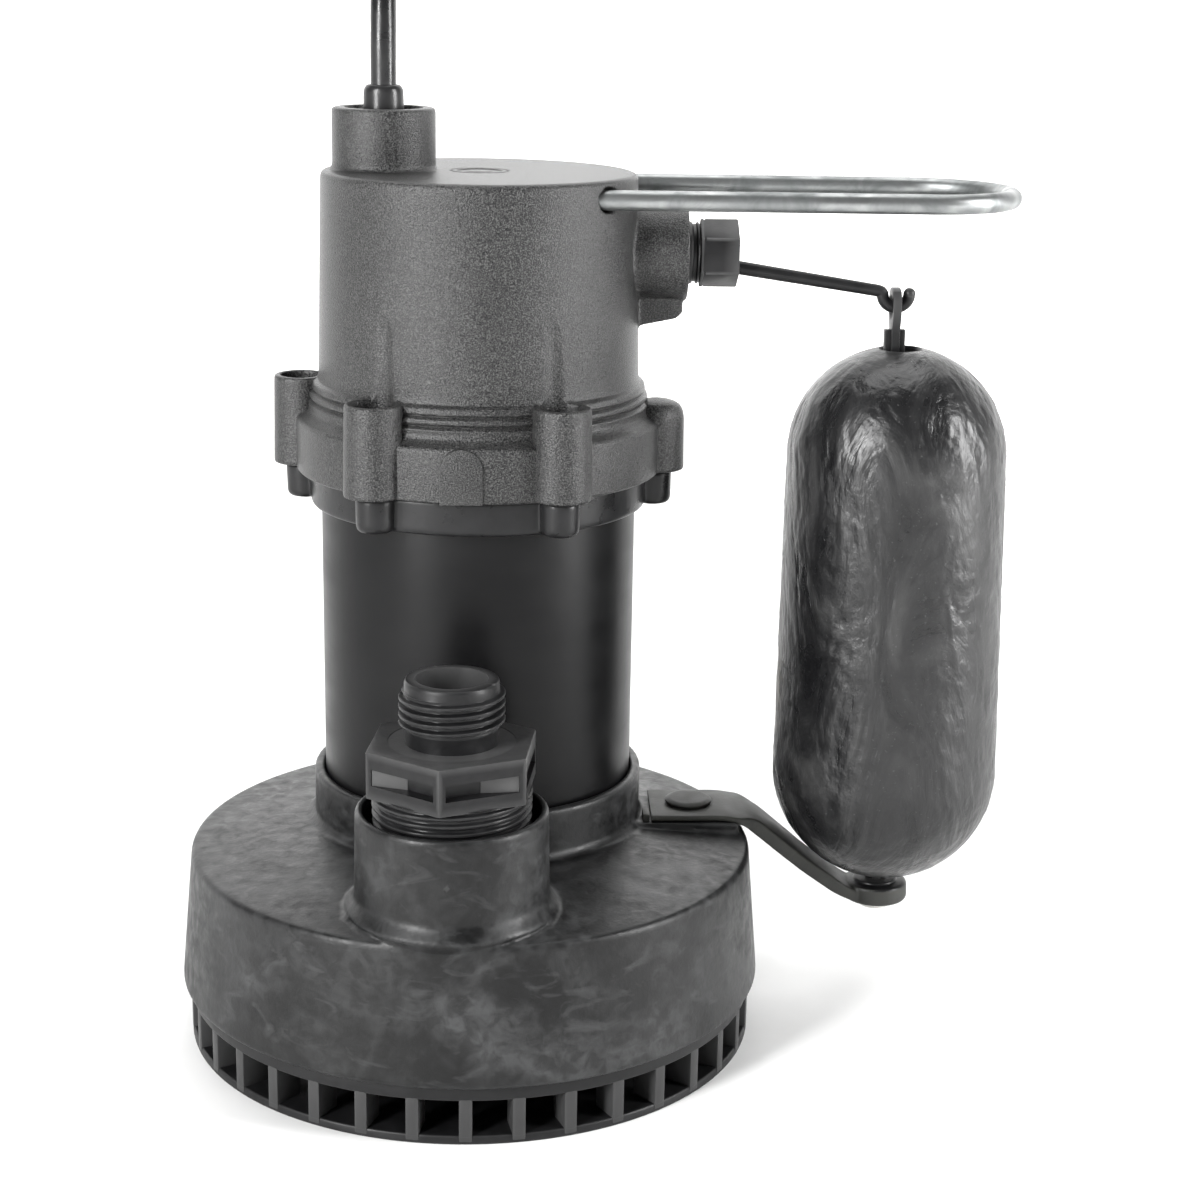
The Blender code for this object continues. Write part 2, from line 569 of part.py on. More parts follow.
def top_cover():
    """Cover with flange, six lugs, cord boss, switch boss and the handle's two sockets."""
    wall = COVER_WALL
    profile = [(0.0, COVER_TOP), (COVER_R_TOP - 0.0012, COVER_TOP), (COVER_R_TOP, COVER_TOP - 0.0012),
               (COVER_R_LOW, 0.1806), (0.0449, 0.1785), (0.0464, 0.1740), (0.0482, 0.1710),
               (FLANGE_R, FLANGE_TOP), (FLANGE_R, COVER_Z), (COVER_R_LOW - wall, COVER_Z),
               (COVER_R_TOP - wall, COVER_TOP - wall), (0.0, COVER_TOP - wall)]
    cover = turned("top_cover", profile, "cover", 32, False)
    lug_foot = COVER_Z + 0.0002
    added = [
        turned("closed_lug", [(0.0, CLOSED_LUG_TOP + 0.0025), (0.0045, CLOSED_LUG_TOP + 0.0015),
                              (LUG_R, CLOSED_LUG_TOP - 0.0010), (LUG_R, lug_foot),
                              (0.0, lug_foot)],
               steps=14, closed=False, cutter=True,
               place=at(*around(LUG_CIRCLE_R, CLOSED_LUG_ANGLE))),
        box("arch_pad", (-0.0092, -0.0503, lug_foot), (0.0018, -0.0460, 0.1690), cutter=True),
        rod("cord_boss", CORD_BOSS_R, COVER_TOP - 0.0150, CORD_BOSS_TOP, steps=20, cutter=True,
            place=at(CORD_X, CORD_Y)),
        rod("switch_boss", SWITCH_BOSS_R, 0.0350, SWITCH_BOSS_END, steps=20, cutter=True,
            place=along_x(0, 0, SWITCH_Z)),
        plate("switch_key", [(0.0405, 0.2040), (0.0405, 0.1956), (0.0420, 0.1956),
                             (0.0535, 0.1980), (0.0548, 0.1995), (0.0548, 0.2040)],
              "Y", 0.0, 0.0100, cutter=True)]
    removed = [
        rod("tube_socket", TUBE_R + GAP, 0.14, TUBE_SEAT_TOP, steps=32, cutter=True),
        turned("cord_bore",
               [(0.0, 0.27), (CORD_BOSS_BORE_R, 0.27), (CORD_BOSS_BORE_R, 0.2470),
                (0.0068, 0.2470), (0.0068, 0.2350), (0.0045, 0.2350), (0.0045, 0.21),
                (0.0, 0.21)],
               steps=16, closed=False, cutter=True, place=at(CORD_X, CORD_Y)),
        rod("gland_bore", GLAND_BORE_R, 0.0300, 0.0700, steps=16, cutter=True,
            place=along_x(0, 0, SWITCH_Z))]
    for number, angle in enumerate(LUG_ANGLES, 1):
        place = at(*around(LUG_CIRCLE_R, angle))
        added.append(rod(f"lug_{number}", LUG_R, lug_foot, LUG_TOP, steps=12, cutter=True,
                         place=place))
        removed.append(turned(f"lug_bore_{number}",
                              [(0.0, 0.20), (LUG_BORE_R, 0.20), (LUG_BORE_R, LUG_SEAT_Z),
                               (SCREW_HOLE_R, LUG_SEAT_Z), (SCREW_HOLE_R, 0.14), (0.0, 0.14)],
                              steps=8, closed=False, cutter=True, place=place))
    for side in (-1, 1):
        y = side * HANDLE_HALF
        added.append(box(f"handle_socket_{side}",
                         (HANDLE_ROOT - 0.001, y - 0.0045, HANDLE_Z - 0.0045),
                         (0.0310, y + 0.0045, COVER_TOP - 0.001), cutter=True))
        removed.append(rod(f"handle_bore_{side}", HANDLE_ROD_R + GAP, HANDLE_ROOT, 0.0600,
                           steps=12, cutter=True, place=along_x(0, y, HANDLE_Z)))
    join(cover, *added)
    cut(cover, *removed)


def cover_fasteners():
    for number, angle in enumerate(LUG_ANGLES, 1):
        head_top = LUG_SEAT_Z + 0.0050
        profile = [(0.0, head_top - 0.0012), (0.0021, head_top - 0.0012), (0.0021, head_top),
                   (0.0040, head_top), (0.0048, head_top - 0.0010), (0.0048, LUG_SEAT_Z + GAP),
                   (0.0019, LUG_SEAT_Z + GAP), (0.0019, RING_Z[0] + 0.0020),
                   (0.0, RING_Z[0] + 0.0020)]
        turned(f"cover_screw_{number}", profile, "steel", 12, False,
               place=at(*around(LUG_CIRCLE_R, angle)))
    turned("cover_gasket", ring_profile(0.0412, TUBE_R, TUBE_Z[1] + GAP, TUBE_SEAT_TOP - GAP),
           "rubber", 28)


def handle():
    bend = HANDLE_HALF
    centre = HANDLE_END - HANDLE_ROD_R - bend
    arc = [(centre + bend * sin(a), -bend * cos(a), HANDLE_Z)
           for a in (pi * k / 20 for k in range(21))]
    root = HANDLE_ROOT + GAP
    points = [(root, -bend, HANDLE_Z), *arc, (root, bend, HANDLE_Z)]
    tube_curve("handle", points, HANDLE_ROD_R, "zinc", 3)


# ---------------------------------------------------------------- float switch
def gland():
    bore_in, bore_mid, bore_out = 0.0034, 0.0052, 0.0066
    collar_end = NUT_X[0] - GAP
    profile = [(bore_mid, collar_end), (0.0083, collar_end), (0.0083, SWITCH_BOSS_END + GAP),
               (GLAND_BORE_R - GAP, SWITCH_BOSS_END + GAP), (GLAND_BORE_R - GAP, 0.0462),
               (bore_in, 0.0462)]
    turned("switch_gland", profile, "fitting", 24, place=along_x(0, 0, SWITCH_Z))
    nut = prism("gland_nut", 6, NUT_R, *NUT_X, turn=0.0, slot="fitting",
                place=along_x(0, 0, SWITCH_Z))
    cone = turned("nut_bore", [(0.0, 0.0750), (bore_out + 0.0009, 0.0750), (bore_mid, 0.0585),
                               (0.0, 0.0585)],
                  steps=32, closed=False, cutter=True, place=along_x(0, 0, SWITCH_Z))
    cut(nut, cone)
    seal = [(0.0027, 0.0459), (GLAND_BORE_R - GAP, 0.0459), (GLAND_BORE_R - GAP, 0.0430),
            (0.0027, 0.0430)]
    turned("gland_diaphragm", seal, "rubber", 20, place=along_x(0, 0, SWITCH_Z))


def arm_line():
    """The arm runs straight through its pivot, then turns down into the hook."""
    tip = Vector((HOOK.x - HOOK_R, 0.0, HOOK.z + 0.0006))
    lean = (tip - PIVOT).normalized()
    start = PIVOT - lean * 0.0150
    elbow = tip - lean * 0.0026
    arc = [HOOK + HOOK_R * Vector((cos(a), 0.0, sin(a)))
           for a in (pi + pi * k / 10 for k in range(0, 11))]
    soft_elbow = [elbow, tip - lean * 0.0011 + Vector((0, 0, -0.0001))]
    return lean, [start, PIVOT, *soft_elbow, *arc[1:]]


def switch_arm():
    lean, points = arm_line()
    total = (points[2] - points[0]).length
    radii = [1.0 + (ARM_R_OUT / ARM_R_IN - 1.0) * min(1.0, (p - points[0]).length / total)
             for p in points]
    arm = tube_curve("switch_arm", points, ARM_R_IN, "fitting", 2, radii)
    lever_low, lever_high = -0.0225, -0.0153
    frame = Matrix.Translation(PIVOT) @ Vector((1, 0, 0)).rotation_difference(lean) \
        .to_matrix().to_4x4()
    lever = box("switch_lever", (lever_low, -0.0030, -0.0014), (lever_high, 0.0030, 0.0014),
                "steel", bevel=0.0004, place=frame)
    hang("switch_arm_pivot", PIVOT, arm, lever)


def snap_switch():
    body = box("snap_switch", (0.0160, -0.0055, 0.1960), (0.0330, 0.0055, 0.2100), "switch",
               bevel=0.0006)
    cut(body, rod("plunger_bore", 0.0024, 0.2022, 0.2150, steps=16, cutter=True,
                  place=at(PLUNGER_X, 0.0)))
    rod("switch_plunger", 0.0020, 0.2078, 0.2153, "fitting", 12, place=at(PLUNGER_X, 0.0))
    bracket = box("switch_bracket", (-0.0040, -0.0120, 0.1900), (0.0340, 0.0120, 0.1917), "zinc")
    post = box("bracket_wall", (-0.0040, -0.0120, 0.1905), (-0.0023, 0.0120, 0.2327), cutter=True)
    riser = box("switch_riser", (0.0180, -0.0040, 0.1910), (0.0310, 0.0040, 0.1957), cutter=True)
    join(bracket, post, riser)


def float_rod():
    """Eye strip on the hook, and the stem that carries the float and ends in the foot's stud."""
    stem_top = 0.1955
    place = tilted(ROD_FOOT, ROD_TOP)
    length = (ROD_TOP - ROD_FOOT).length
    top = length - (ROD_TOP.z - stem_top)
    stem = turned("float_rod",
                  [(0.0, top), (0.0013, top), (ROD_R, top - 0.0022), (ROD_R, 0.0045),
                   (STUD_R, 0.0045), (STUD_R, -0.0044), (0.0, -0.0044)],
                  "fitting", 20, False, place=place)
    rounded = [(0.0045 * cos(a), ROD_TOP.z + 0.0003 + 0.0050 * sin(a))
               for a in (pi * k / 8 for k in range(9))]
    outline = [(0.0028, 0.1885), *rounded, (-0.0028, 0.1885)]
    join(stem, plate("eye_strip", outline, "X", ROD_TOP.x, 0.0023, cutter=True))
    eye_r, flare = 0.0022, 0.0018
    flared = [(0.0, 0.0016), (eye_r + flare, 0.0016), (eye_r, 0.0), (eye_r + flare, -0.0016),
              (0.0, -0.0016)]
    cut(stem, turned("eye_hole", flared, steps=20, closed=False, cutter=True,
                     place=along_x(ROD_TOP.x, 0.0, ROD_TOP.z + 0.0001)))
    foot = turned("float_foot", [(STUD_R + GAP, 0.0041), (0.0060, 0.0041), (0.0062, 0.0036),
                                 (FOOT_R - 0.0006, 0.0034), (FOOT_R, 0.0028),
                                 (FOOT_R - 0.0004, 0.0019), (STUD_R + GAP, 0.0019)],
                  "fitting", 20, place=place)
    clip = turned("foot_clip", [(STUD_R + GAP, FOOT_CLIP_Z), (0.0052, FOOT_CLIP_Z),
                                (0.0045, FOOT_CLIP_Z - 0.0011),
                                (STUD_R + GAP, FOOT_CLIP_Z - 0.0013)], "fitting", 16, place=place)
    hang("float_rod_pivot", ROD_TOP, stem, foot, clip)


def float_parts():
    """Hollow capsule with a tube right through it for the rod, and the plug of its blow hole."""
    axis = FLOAT_TOP - FLOAT_BOTTOM
    length = axis.length
    place = tilted(FLOAT_BOTTOM, FLOAT_TOP)

    def capsule(inset, bore, steps):
        low_r, high_r = FLOAT_R_LOW - inset, FLOAT_R_HIGH - inset
        low_z, high_z = FLOAT_R_LOW, length - FLOAT_R_HIGH
        top_start = asin(bore / high_r)
        points = [(high_r * sin(a), high_z + high_r * cos(a))
                  for a in (top_start + (pi / 2 - top_start) * k / steps for k in range(steps + 1))]
        low_start = asin(bore / low_r)
        points += [(low_r * cos(a), low_z - low_r * sin(a))
                   for a in ((pi / 2 - low_start) * k / steps for k in range(steps + 1))]
        return points

    outer = capsule(0.0, FLOAT_BORE_R, 6)
    shell = turned("float", outer, "float", 24, place=place)
    hollow = turned("float_hollow", capsule(FLOAT_WALL, FLOAT_BORE_R + FLOAT_WALL, 4), steps=12,
                    cutter=True, place=place)
    plug_r, plug_x = 0.0020, 0.0150
    blow_hole = rod("blow_hole", plug_r + GAP, -0.001, 0.0120, steps=14, cutter=True,
                    place=place @ at(-plug_x, 0.0, 0.0))
    cut(shell, hollow, blow_hole)
    skin_z = FLOAT_R_LOW - sqrt(FLOAT_R_LOW ** 2 - plug_x ** 2)
    plug = rod("float_plug", plug_r, skin_z + 0.0008, skin_z + 0.0034, "rubber", 12,
               place=place @ at(-plug_x, 0.0, 0.0))
    hang("float_pivot", FLOAT_BOTTOM, shell, plug)


def strap_sides(line, thick_start, thick_end):
    """The two long sides of a band that follows the line."""
    top, bottom = [], []
    for index, (x, z) in enumerate(line):
        ahead = line[min(index + 1, len(line) - 1)]
        behind = line[max(index - 1, 0)]
        heading = atan2(ahead[1] - behind[1], ahead[0] - behind[0])
        share = min(1.0, index / 2)
        half = (thick_start + (thick_end - thick_start) * share) / 2
        top.append((x - half * sin(heading), z + half * cos(heading)))
        bottom.append((x + half * sin(heading), z - half * cos(heading)))
    return top, bottom


def strap_parts():
    y_low, y_high = ANCHOR_Y
    anchor = box("strap_anchor", (0.0490, y_low, ANCHOR_Z[0]), (0.0730, y_high, ANCHOR_Z[1]),
                 "strap", bevel=0.0003)
    cut(anchor, rod("anchor_hole", 0.0022, 0.05, 0.07, steps=12, cutter=True,
                    place=at(BUTTON.x, BUTTON.y)))
    turned("strap_button", [(0.0, 0.0015), (0.0058, 0.0013), (0.0068, 0.0006), (0.0068, 0.0),
                            (0.0018, 0.0), (0.0018, -0.0090), (0.0, -0.0090)],
           "strap", 20, False, place=Matrix.Translation(BUTTON))
    top, bottom = strap_sides(STRAP_LINE, *STRAP_THICK)
    strap = plate("float_strap", bottom + top[::-1], "Y", STRAP_Y, STRAP_WIDTH, "strap")
    hang("strap_pivot", STRAP_ROOT, strap)
    eye_place = at(ROD_FOOT.x, ROD_FOOT.y)
    eye = turned("strap_eye", ring_profile(0.0034, FOOT_R + 0.0001, *EYE_Z, chamfer=0.0006),
                 "strap", 24, place=eye_place)
    tab = plate("strap_tab", [(0.1049, 0.0322), (0.1060, 0.0302), (0.1100, 0.0292),
                              (0.1100, 0.0326), (0.1060, 0.0328), (0.1052, 0.0344)],
                "Y", -0.0008, 0.0115, cutter=True)
    join(eye, tab)
    hang("strap_tip_pivot", STRAP_TIP, eye)


# ---------------------------------------------------------------- power cord
def cord_exit():
    turned("cord_bushing",
           [(CORD_R + GAP, BUSHING_TOP), (0.0046, BUSHING_TOP), (0.0053, BUSHING_TOP - 0.0009),
            (0.0054, 0.2470), (0.0063, 0.2376), (0.0063, 0.2353), (CORD_R + GAP, 0.2353)],
           "rubber", 20, place=at(CORD_X, CORD_Y))
    turned("cord_retainer", ring_profile(0.0058, CORD_BOSS_BORE_R - GAP, 0.2473, 0.2490),
           "fitting", 18, place=at(CORD_X, CORD_Y))


def power_cord():
    inside = [(CORD_X, CORD_Y, 0.2360), (CORD_X, CORD_Y, 0.2480)]
    line = smooth_line(CORD_ROUTE, 0.0105)
    tube_curve("power_cord", [*inside, *line], CORD_R, "rubber", 2)
    profile = ring_profile(COIL_MID_R - COIL_HALF_WIDTH, COIL_MID_R + COIL_HALF_WIDTH, *COIL_Z,
                           chamfer=0.0030)
    turned("cord_coil", profile, "rubber", 32, place=Matrix.Translation(COIL))
    inner, outer = COIL_MID_R - COIL_HALF_WIDTH - GAP, COIL_MID_R + COIL_HALF_WIDTH + GAP
    wall = 0.0009
    low, high = COIL_Z[0] - GAP, COIL_Z[1] + GAP
    outline = [(inner - wall, low - wall), (outer + wall, low - wall),
               (outer + wall, high + wall), (inner - wall, high + wall)]
    opening = [(inner, low), (outer, low), (outer, high), (inner, high)]
    tie = plate("cord_tie", outline, "Y", 0.0, 0.0060, "rubber", holes=[opening])
    tie.matrix_world = Matrix.Translation(COIL) @ Matrix.Rotation(radians(-20), 4, "Z")
    tube_curve("cord_tail", smooth_line(TAIL_ROUTE, 0.0075), CORD_R, "rubber", 2)


def plug():
    front, relief = 0.0345, -0.0155
    stand = Matrix.Translation(PLUG) @ Matrix.Rotation(PLUG_TURN, 4, "Z")
    body = turned("plug_body",
                  [(0.0, front), (0.0120, front), (0.0132, front - 0.0015), (0.0132, 0.0240),
                   (0.0112, 0.0200), (0.0110, 0.0120), (0.0070, 0.0080), (0.0058, relief),
                   (0.0, relief)],
                  "rubber", 20, False, place=stand @ along_x(0.0))
    cut(body, box("plug_flat", (-0.1, 0.0, -0.05), (0.1, 0.3, COIL_Z[1] + GAP), cutter=True))
    face = front + GAP
    for name, offset in (("plug_blade_line", -0.00635), ("plug_blade_neutral", 0.00635)):
        box(name, (face, offset - 0.00075, -0.0005), (face + 0.0158, offset + 0.00075, 0.0058),
            "brass", bevel=0.0003, place=stand)
    rod("plug_ground_pin", 0.0024, face, face + 0.0190, "brass", 14,
        place=stand @ along_x(0.0, 0.0, -0.0058))


intake_screen()
housing_screws()
volute_plate()
volute_housing()
discharge_adapter()
motor_shell()
motor_inside()
rotor_parts()
lower_clamp_ring()
top_cover()
cover_fasteners()
handle()
gland()
switch_arm()
snap_switch()
float_rod()
float_parts()
strap_parts()
cord_exit()
power_cord()
plug()
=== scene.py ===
"""Submersible sump pump: the looks of each piece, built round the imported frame.

Metres, +Z up, in the frame's own coordinates. Moulded housings are unions of simple solids that
are remeshed and relaxed, which gives them the soft fillets of a moulding. Turned pieces come from
rounded profiles, and the threads and the float's folds are shaped into the surface.
"""
import json
from math import asin, atan2, ceil, cos, pi, radians, sin

import bmesh
import bpy
from mathutils import Matrix, Vector, noise
from mathutils.geometry import interpolate_bezier

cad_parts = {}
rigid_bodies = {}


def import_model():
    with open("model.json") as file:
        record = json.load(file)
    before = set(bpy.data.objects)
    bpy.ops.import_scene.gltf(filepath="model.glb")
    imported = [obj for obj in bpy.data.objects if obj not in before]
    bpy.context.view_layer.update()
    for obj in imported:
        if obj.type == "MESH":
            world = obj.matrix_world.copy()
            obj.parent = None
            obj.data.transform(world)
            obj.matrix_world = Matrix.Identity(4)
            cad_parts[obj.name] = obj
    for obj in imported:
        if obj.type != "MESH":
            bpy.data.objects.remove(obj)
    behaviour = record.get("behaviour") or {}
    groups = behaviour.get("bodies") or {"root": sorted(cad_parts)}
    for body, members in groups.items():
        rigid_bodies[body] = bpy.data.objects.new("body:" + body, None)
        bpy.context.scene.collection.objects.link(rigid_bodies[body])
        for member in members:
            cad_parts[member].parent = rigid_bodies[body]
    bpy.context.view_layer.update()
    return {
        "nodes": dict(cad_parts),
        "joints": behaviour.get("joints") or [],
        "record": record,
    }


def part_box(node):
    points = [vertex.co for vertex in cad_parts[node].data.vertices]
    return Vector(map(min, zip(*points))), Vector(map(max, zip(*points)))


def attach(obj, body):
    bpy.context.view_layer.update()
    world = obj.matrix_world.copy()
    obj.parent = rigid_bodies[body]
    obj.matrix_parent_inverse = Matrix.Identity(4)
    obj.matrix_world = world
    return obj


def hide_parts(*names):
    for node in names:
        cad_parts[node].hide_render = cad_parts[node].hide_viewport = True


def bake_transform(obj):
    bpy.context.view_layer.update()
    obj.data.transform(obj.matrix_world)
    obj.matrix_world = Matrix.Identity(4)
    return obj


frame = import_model()
NODES = frame["nodes"]


def middle(node):
    low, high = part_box(node)
    return (low + high) / 2


# ---------------------------------------------------------------- sizes, from the frame
BODY = "pump_body"
SCREEN_LOW, SCREEN_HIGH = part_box("intake_screen")
DRUM_X, DRUM_Y = middle("intake_screen").x, middle("intake_screen").y
SCREEN_R = (SCREEN_HIGH.x - SCREEN_LOW.x) / 2
SCREEN_TOP = SCREEN_HIGH.z
DRUM_LOW, DRUM_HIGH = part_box("volute_housing")
DRUM_R = (DRUM_HIGH.x - DRUM_LOW.x) / 2
BOSS_TOP = DRUM_HIGH.z
TUBE_LOW, TUBE_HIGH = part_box("motor_tube")
TUBE_R = TUBE_HIGH.x
RING_LOW, RING_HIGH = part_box("lower_clamp_ring")
COVER_LOW, COVER_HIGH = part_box("top_cover")
NOZZLE_X, NOZZLE_Y = middle("discharge_adapter").x, middle("discharge_adapter").y
HOSE_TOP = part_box("discharge_adapter")[1].z
CORD_X, CORD_Y = middle("cord_bushing").x, middle("cord_bushing").y
BUSHING_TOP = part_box("cord_bushing")[1].z
HANDLE_LOW, HANDLE_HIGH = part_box("handle")
NUT_LOW, NUT_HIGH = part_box("gland_nut")
SWITCH_Z = (NUT_LOW.z + NUT_HIGH.z) / 2
EYE_LOW, EYE_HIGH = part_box("strap_eye")
COIL_LOW, COIL_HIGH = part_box("cord_coil")

# moulded details that the frame's boxes don't give
DRUM_EDGE_Z, DRUM_DECK_Z, DRUM_WALL = 0.0534, 0.0565, 0.0035
DRUM_R_HIGH = DRUM_R - 0.0029
COLLAR_R, COLLAR_TOP = 0.0460, 0.0706
BOSS_R, BOSS_MOUTH_R = 0.0248, 0.0229
COVER_TOP, COVER_R_TOP, COVER_R_LOW = 0.2361, 0.0422, 0.0434
FLANGE_R, FLANGE_TOP = 0.0495, 0.1706
LUG_CIRCLE_R, LUG_R, LUG_TOP, LUG_BORE_R, LUG_SEAT_Z = 0.0484, 0.0079, 0.1805, 0.0058, 0.1700
LUG_ANGLES = [radians(a) for a in (-33, 27, 147, 207, 267)]
CLOSED_LUG_ANGLE = radians(87)
RING_R, RING_LUG_CIRCLE_R = 0.0459, 0.0478
CORD_BOSS_R, CORD_BOSS_BORE_R = 0.0138, 0.0103
SWITCH_BOSS_R, SWITCH_BOSS_END, GLAND_BORE_R = 0.0127, 0.0558, 0.0084
HEX_R, HEX_Z, HEX_TURN = 0.0233, (0.0870, 0.0994), radians(-6.3)
HOSE_R, HOSE_ROOT_R, HOSE_BORE_R, HOSE_PITCH = 0.0135, 0.0121, 0.00925, 0.0022
CORD_R = 0.0034


# ---------------------------------------------------------------- mesh helpers
def fillet(corners, steps=4, closed=False):
    """Corners given as (u, v) or (u, v, radius), each rounded corner drawn as a short curve."""
    points = []
    count = len(corners)
    for i, corner in enumerate(corners):
        here = Vector(corner[:2])
        radius = corner[2] if len(corner) > 2 else 0.0
        at_end = not closed and i in (0, count - 1)
        if radius == 0.0 or at_end:
            points.append(here)
            continue
        before = Vector(corners[i - 1][:2])
        after = Vector(corners[(i + 1) % count][:2])
        start = here + (before - here).normalized() * min(radius, (before - here).length / 2.05)
        end = here + (after - here).normalized() * min(radius, (after - here).length / 2.05)
        for k in range(steps + 1):
            t = k / steps
            points.append(start * (1 - t) ** 2 + here * 2 * t * (1 - t) + end * t ** 2)
    return [(p.x, p.y) for p in points]


def new_object(name, mesh, smooth_angle=radians(32)):
    mesh.shade_smooth()
    mesh.set_sharp_from_angle(angle=smooth_angle)
    obj = bpy.data.objects.new(name, mesh)
    bpy.context.scene.collection.objects.link(obj)
    return obj


def from_bmesh(name, bm, smooth_angle=radians(32), place=None):
    mesh = bpy.data.meshes.new(name)
    bm.to_mesh(mesh)
    bm.free()
    if place is not None:
        mesh.transform(place)
    return new_object(name, mesh, smooth_angle)


def lathe(name, profile, segments, place=None, shape=None):
    """A closed solid turned about Z. The profile runs down the outer side, from the axis to the
    axis, or round a ring's section. shape(r, angle, z) may change the radius."""
    ring = profile[0][0] > 1e-9
    verts, rows = [], []
    for r, z in profile:
        if r < 1e-9:
            rows.append([len(verts)] * segments)
            verts.append((0.0, 0.0, z))
            continue
        rows.append(list(range(len(verts), len(verts) + segments)))
        for k in range(segments):
            a = 2 * pi * k / segments
            real = shape(r, a, z) if shape else r
            verts.append((real * cos(a), real * sin(a), z))
    pairs = list(zip(rows, rows[1:]))
    if ring:
        pairs.append((rows[-1], rows[0]))
    faces = []
    for upper, lower in pairs:
        for k in range(segments):
            n = (k + 1) % segments
            loop = list(dict.fromkeys((upper[k], lower[k], lower[n], upper[n])))
            if len(loop) > 2:
                faces.append(loop)
    mesh = bpy.data.meshes.new(name)
    mesh.from_pydata(verts, [], faces)
    if place is not None:
        mesh.transform(place)
    return new_object(name, mesh)


def cylinder(name, radius, z_low, z_high, segments, edge=0.0, place=None):
    profile = fillet([(0.0, z_high), (radius, z_high, edge), (radius, z_low, edge), (0.0, z_low)])
    return lathe(name, profile, segments, place)


def block(name, low, high, edge, place=None):
    """A box with rounded edges, or sharp ones when edge is 0."""
    bm = bmesh.new()
    bmesh.ops.create_cube(bm, size=1.0)
    bmesh.ops.scale(bm, vec=[h - l for l, h in zip(low, high)], verts=bm.verts)
    centre = [(h + l) / 2 for l, h in zip(low, high)]
    bmesh.ops.translate(bm, vec=centre, verts=bm.verts)
    if edge:
        bmesh.ops.bevel(bm, geom=bm.edges[:], offset=edge, segments=2, profile=0.6,
                        affect="EDGES")
    return from_bmesh(name, bm, place=place)


def slab(name, outline, low, high, edge=0.0, axis="Y"):
    """An outline extruded along an axis: (x, z) along Y, (y, z) along X, or (x, y) along Z."""
    bm = bmesh.new()

    def lift(u, v, w):
        return {"Y": (u, w, v), "X": (w, u, v), "Z": (u, v, w)}[axis]

    loop = [bm.verts.new(lift(u, v, low)) for u, v in outline]
    face = bm.faces.new(loop)
    moved = bmesh.ops.extrude_face_region(bm, geom=[face])["geom"]
    shift = Vector(lift(0.0, 0.0, high - low))
    bmesh.ops.translate(bm, vec=shift, verts=[g for g in moved if isinstance(g, bmesh.types.BMVert)])
    bmesh.ops.recalc_face_normals(bm, faces=bm.faces)
    if edge:
        rims = [e for e in bm.edges if e.calc_face_angle(0.0) > radians(40)]
        bmesh.ops.bevel(bm, geom=rims, offset=edge, segments=2, profile=0.6, affect="EDGES")
    return from_bmesh(name, bm)


def hexagon(name, radius, z_low, z_high, edge, place, turn=0.0):
    outline = [(radius * cos(turn + k * pi / 3), radius * sin(turn + k * pi / 3)) for k in range(6)]
    obj = slab(name, outline, z_low, z_high, edge, axis="Z")
    obj.data.transform(place)
    return obj


def boolean(target, tools, operation):
    """Adds a boolean with the tools to the target, and gives back the tools' collection."""
    group = bpy.data.collections.new(f"{target.name}_{operation.lower()}")
    for tool in tools:
        bpy.context.scene.collection.objects.unlink(tool)
        group.objects.link(tool)
    bpy.context.scene.collection.children.link(group)
    modifier = target.modifiers.new(operation.lower(), "BOOLEAN")
    modifier.operation = operation
    modifier.solver = "EXACT"
    modifier.operand_type = "COLLECTION"
    modifier.collection = group
    return group


def baked(obj):
    """Replaces the object's mesh by what its modifiers make of it."""
    bpy.context.view_layer.update()
    graph = bpy.context.evaluated_depsgraph_get()
    mesh = bpy.data.meshes.new_from_object(obj.evaluated_get(graph))
    obj.modifiers.clear()
    obj.data = mesh
    return obj


def drop(group):
    for tool in list(group.objects):
        bpy.data.objects.remove(tool)
    bpy.data.collections.remove(group)


def carved(name, added, removed):
    """The union of some solids less others, with crisp edges."""
    body = added[0]
    body.name = name
    groups = []
    if added[1:]:
        groups.append(boolean(body, added[1:], "UNION"))
    groups.append(boolean(body, removed, "DIFFERENCE"))
    baked(body)
    for group in groups:
        drop(group)
    body.data.shade_smooth()
    body.data.set_sharp_from_angle(angle=radians(32))
    return body


def moulded(name, added, removed, voxel, relax):
    """The union of some solids less others, remeshed and relaxed so that every edge is soft."""
    body = carved(name, added, removed)
    remesh = body.modifiers.new("remesh", "REMESH")
    remesh.mode = "VOXEL"
    remesh.voxel_size = voxel
    remesh.use_smooth_shade = True
    smooth = body.modifiers.new("relax", "SMOOTH")
    smooth.factor = 0.5
    smooth.iterations = relax
    baked(body)
    body.data.shade_smooth()
    return body


def tube(name, points, radius, radii=None):
    """A round rod through the points as a mesh, with flat ends."""
    curve = bpy.data.curves.new(name, "CURVE")
    curve.dimensions = "3D"
    curve.bevel_depth = radius
    curve.bevel_resolution = 12
    curve.use_fill_caps = True
    spline = curve.splines.new("POLY")
    spline.points.add(len(points) - 1)
    for index, point in enumerate(points):
        spline.points[index].co = (*point, 1.0)
        spline.points[index].radius = radii[index] if radii else 1.0
    guide = bpy.data.objects.new(name + "_line", curve)
    bpy.context.scene.collection.objects.link(guide)
    bpy.context.view_layer.update()
    graph = bpy.context.evaluated_depsgraph_get()
    mesh = bpy.data.meshes.new_from_object(guide.evaluated_get(graph))
    bpy.data.objects.remove(guide)
    bm = bmesh.new()
    bm.from_mesh(mesh)
    bpy.data.meshes.remove(mesh)
    bmesh.ops.remove_doubles(bm, verts=bm.verts, dist=0.00001)
    return from_bmesh(name, bm)


def along_x(x, y=0.0, z=0.0):
    return Matrix.Translation((x, y, z)) @ Matrix.Rotation(pi / 2, 4, "Y")


def at(x, y, z=0.0):
    return Matrix.Translation((x, y, z))


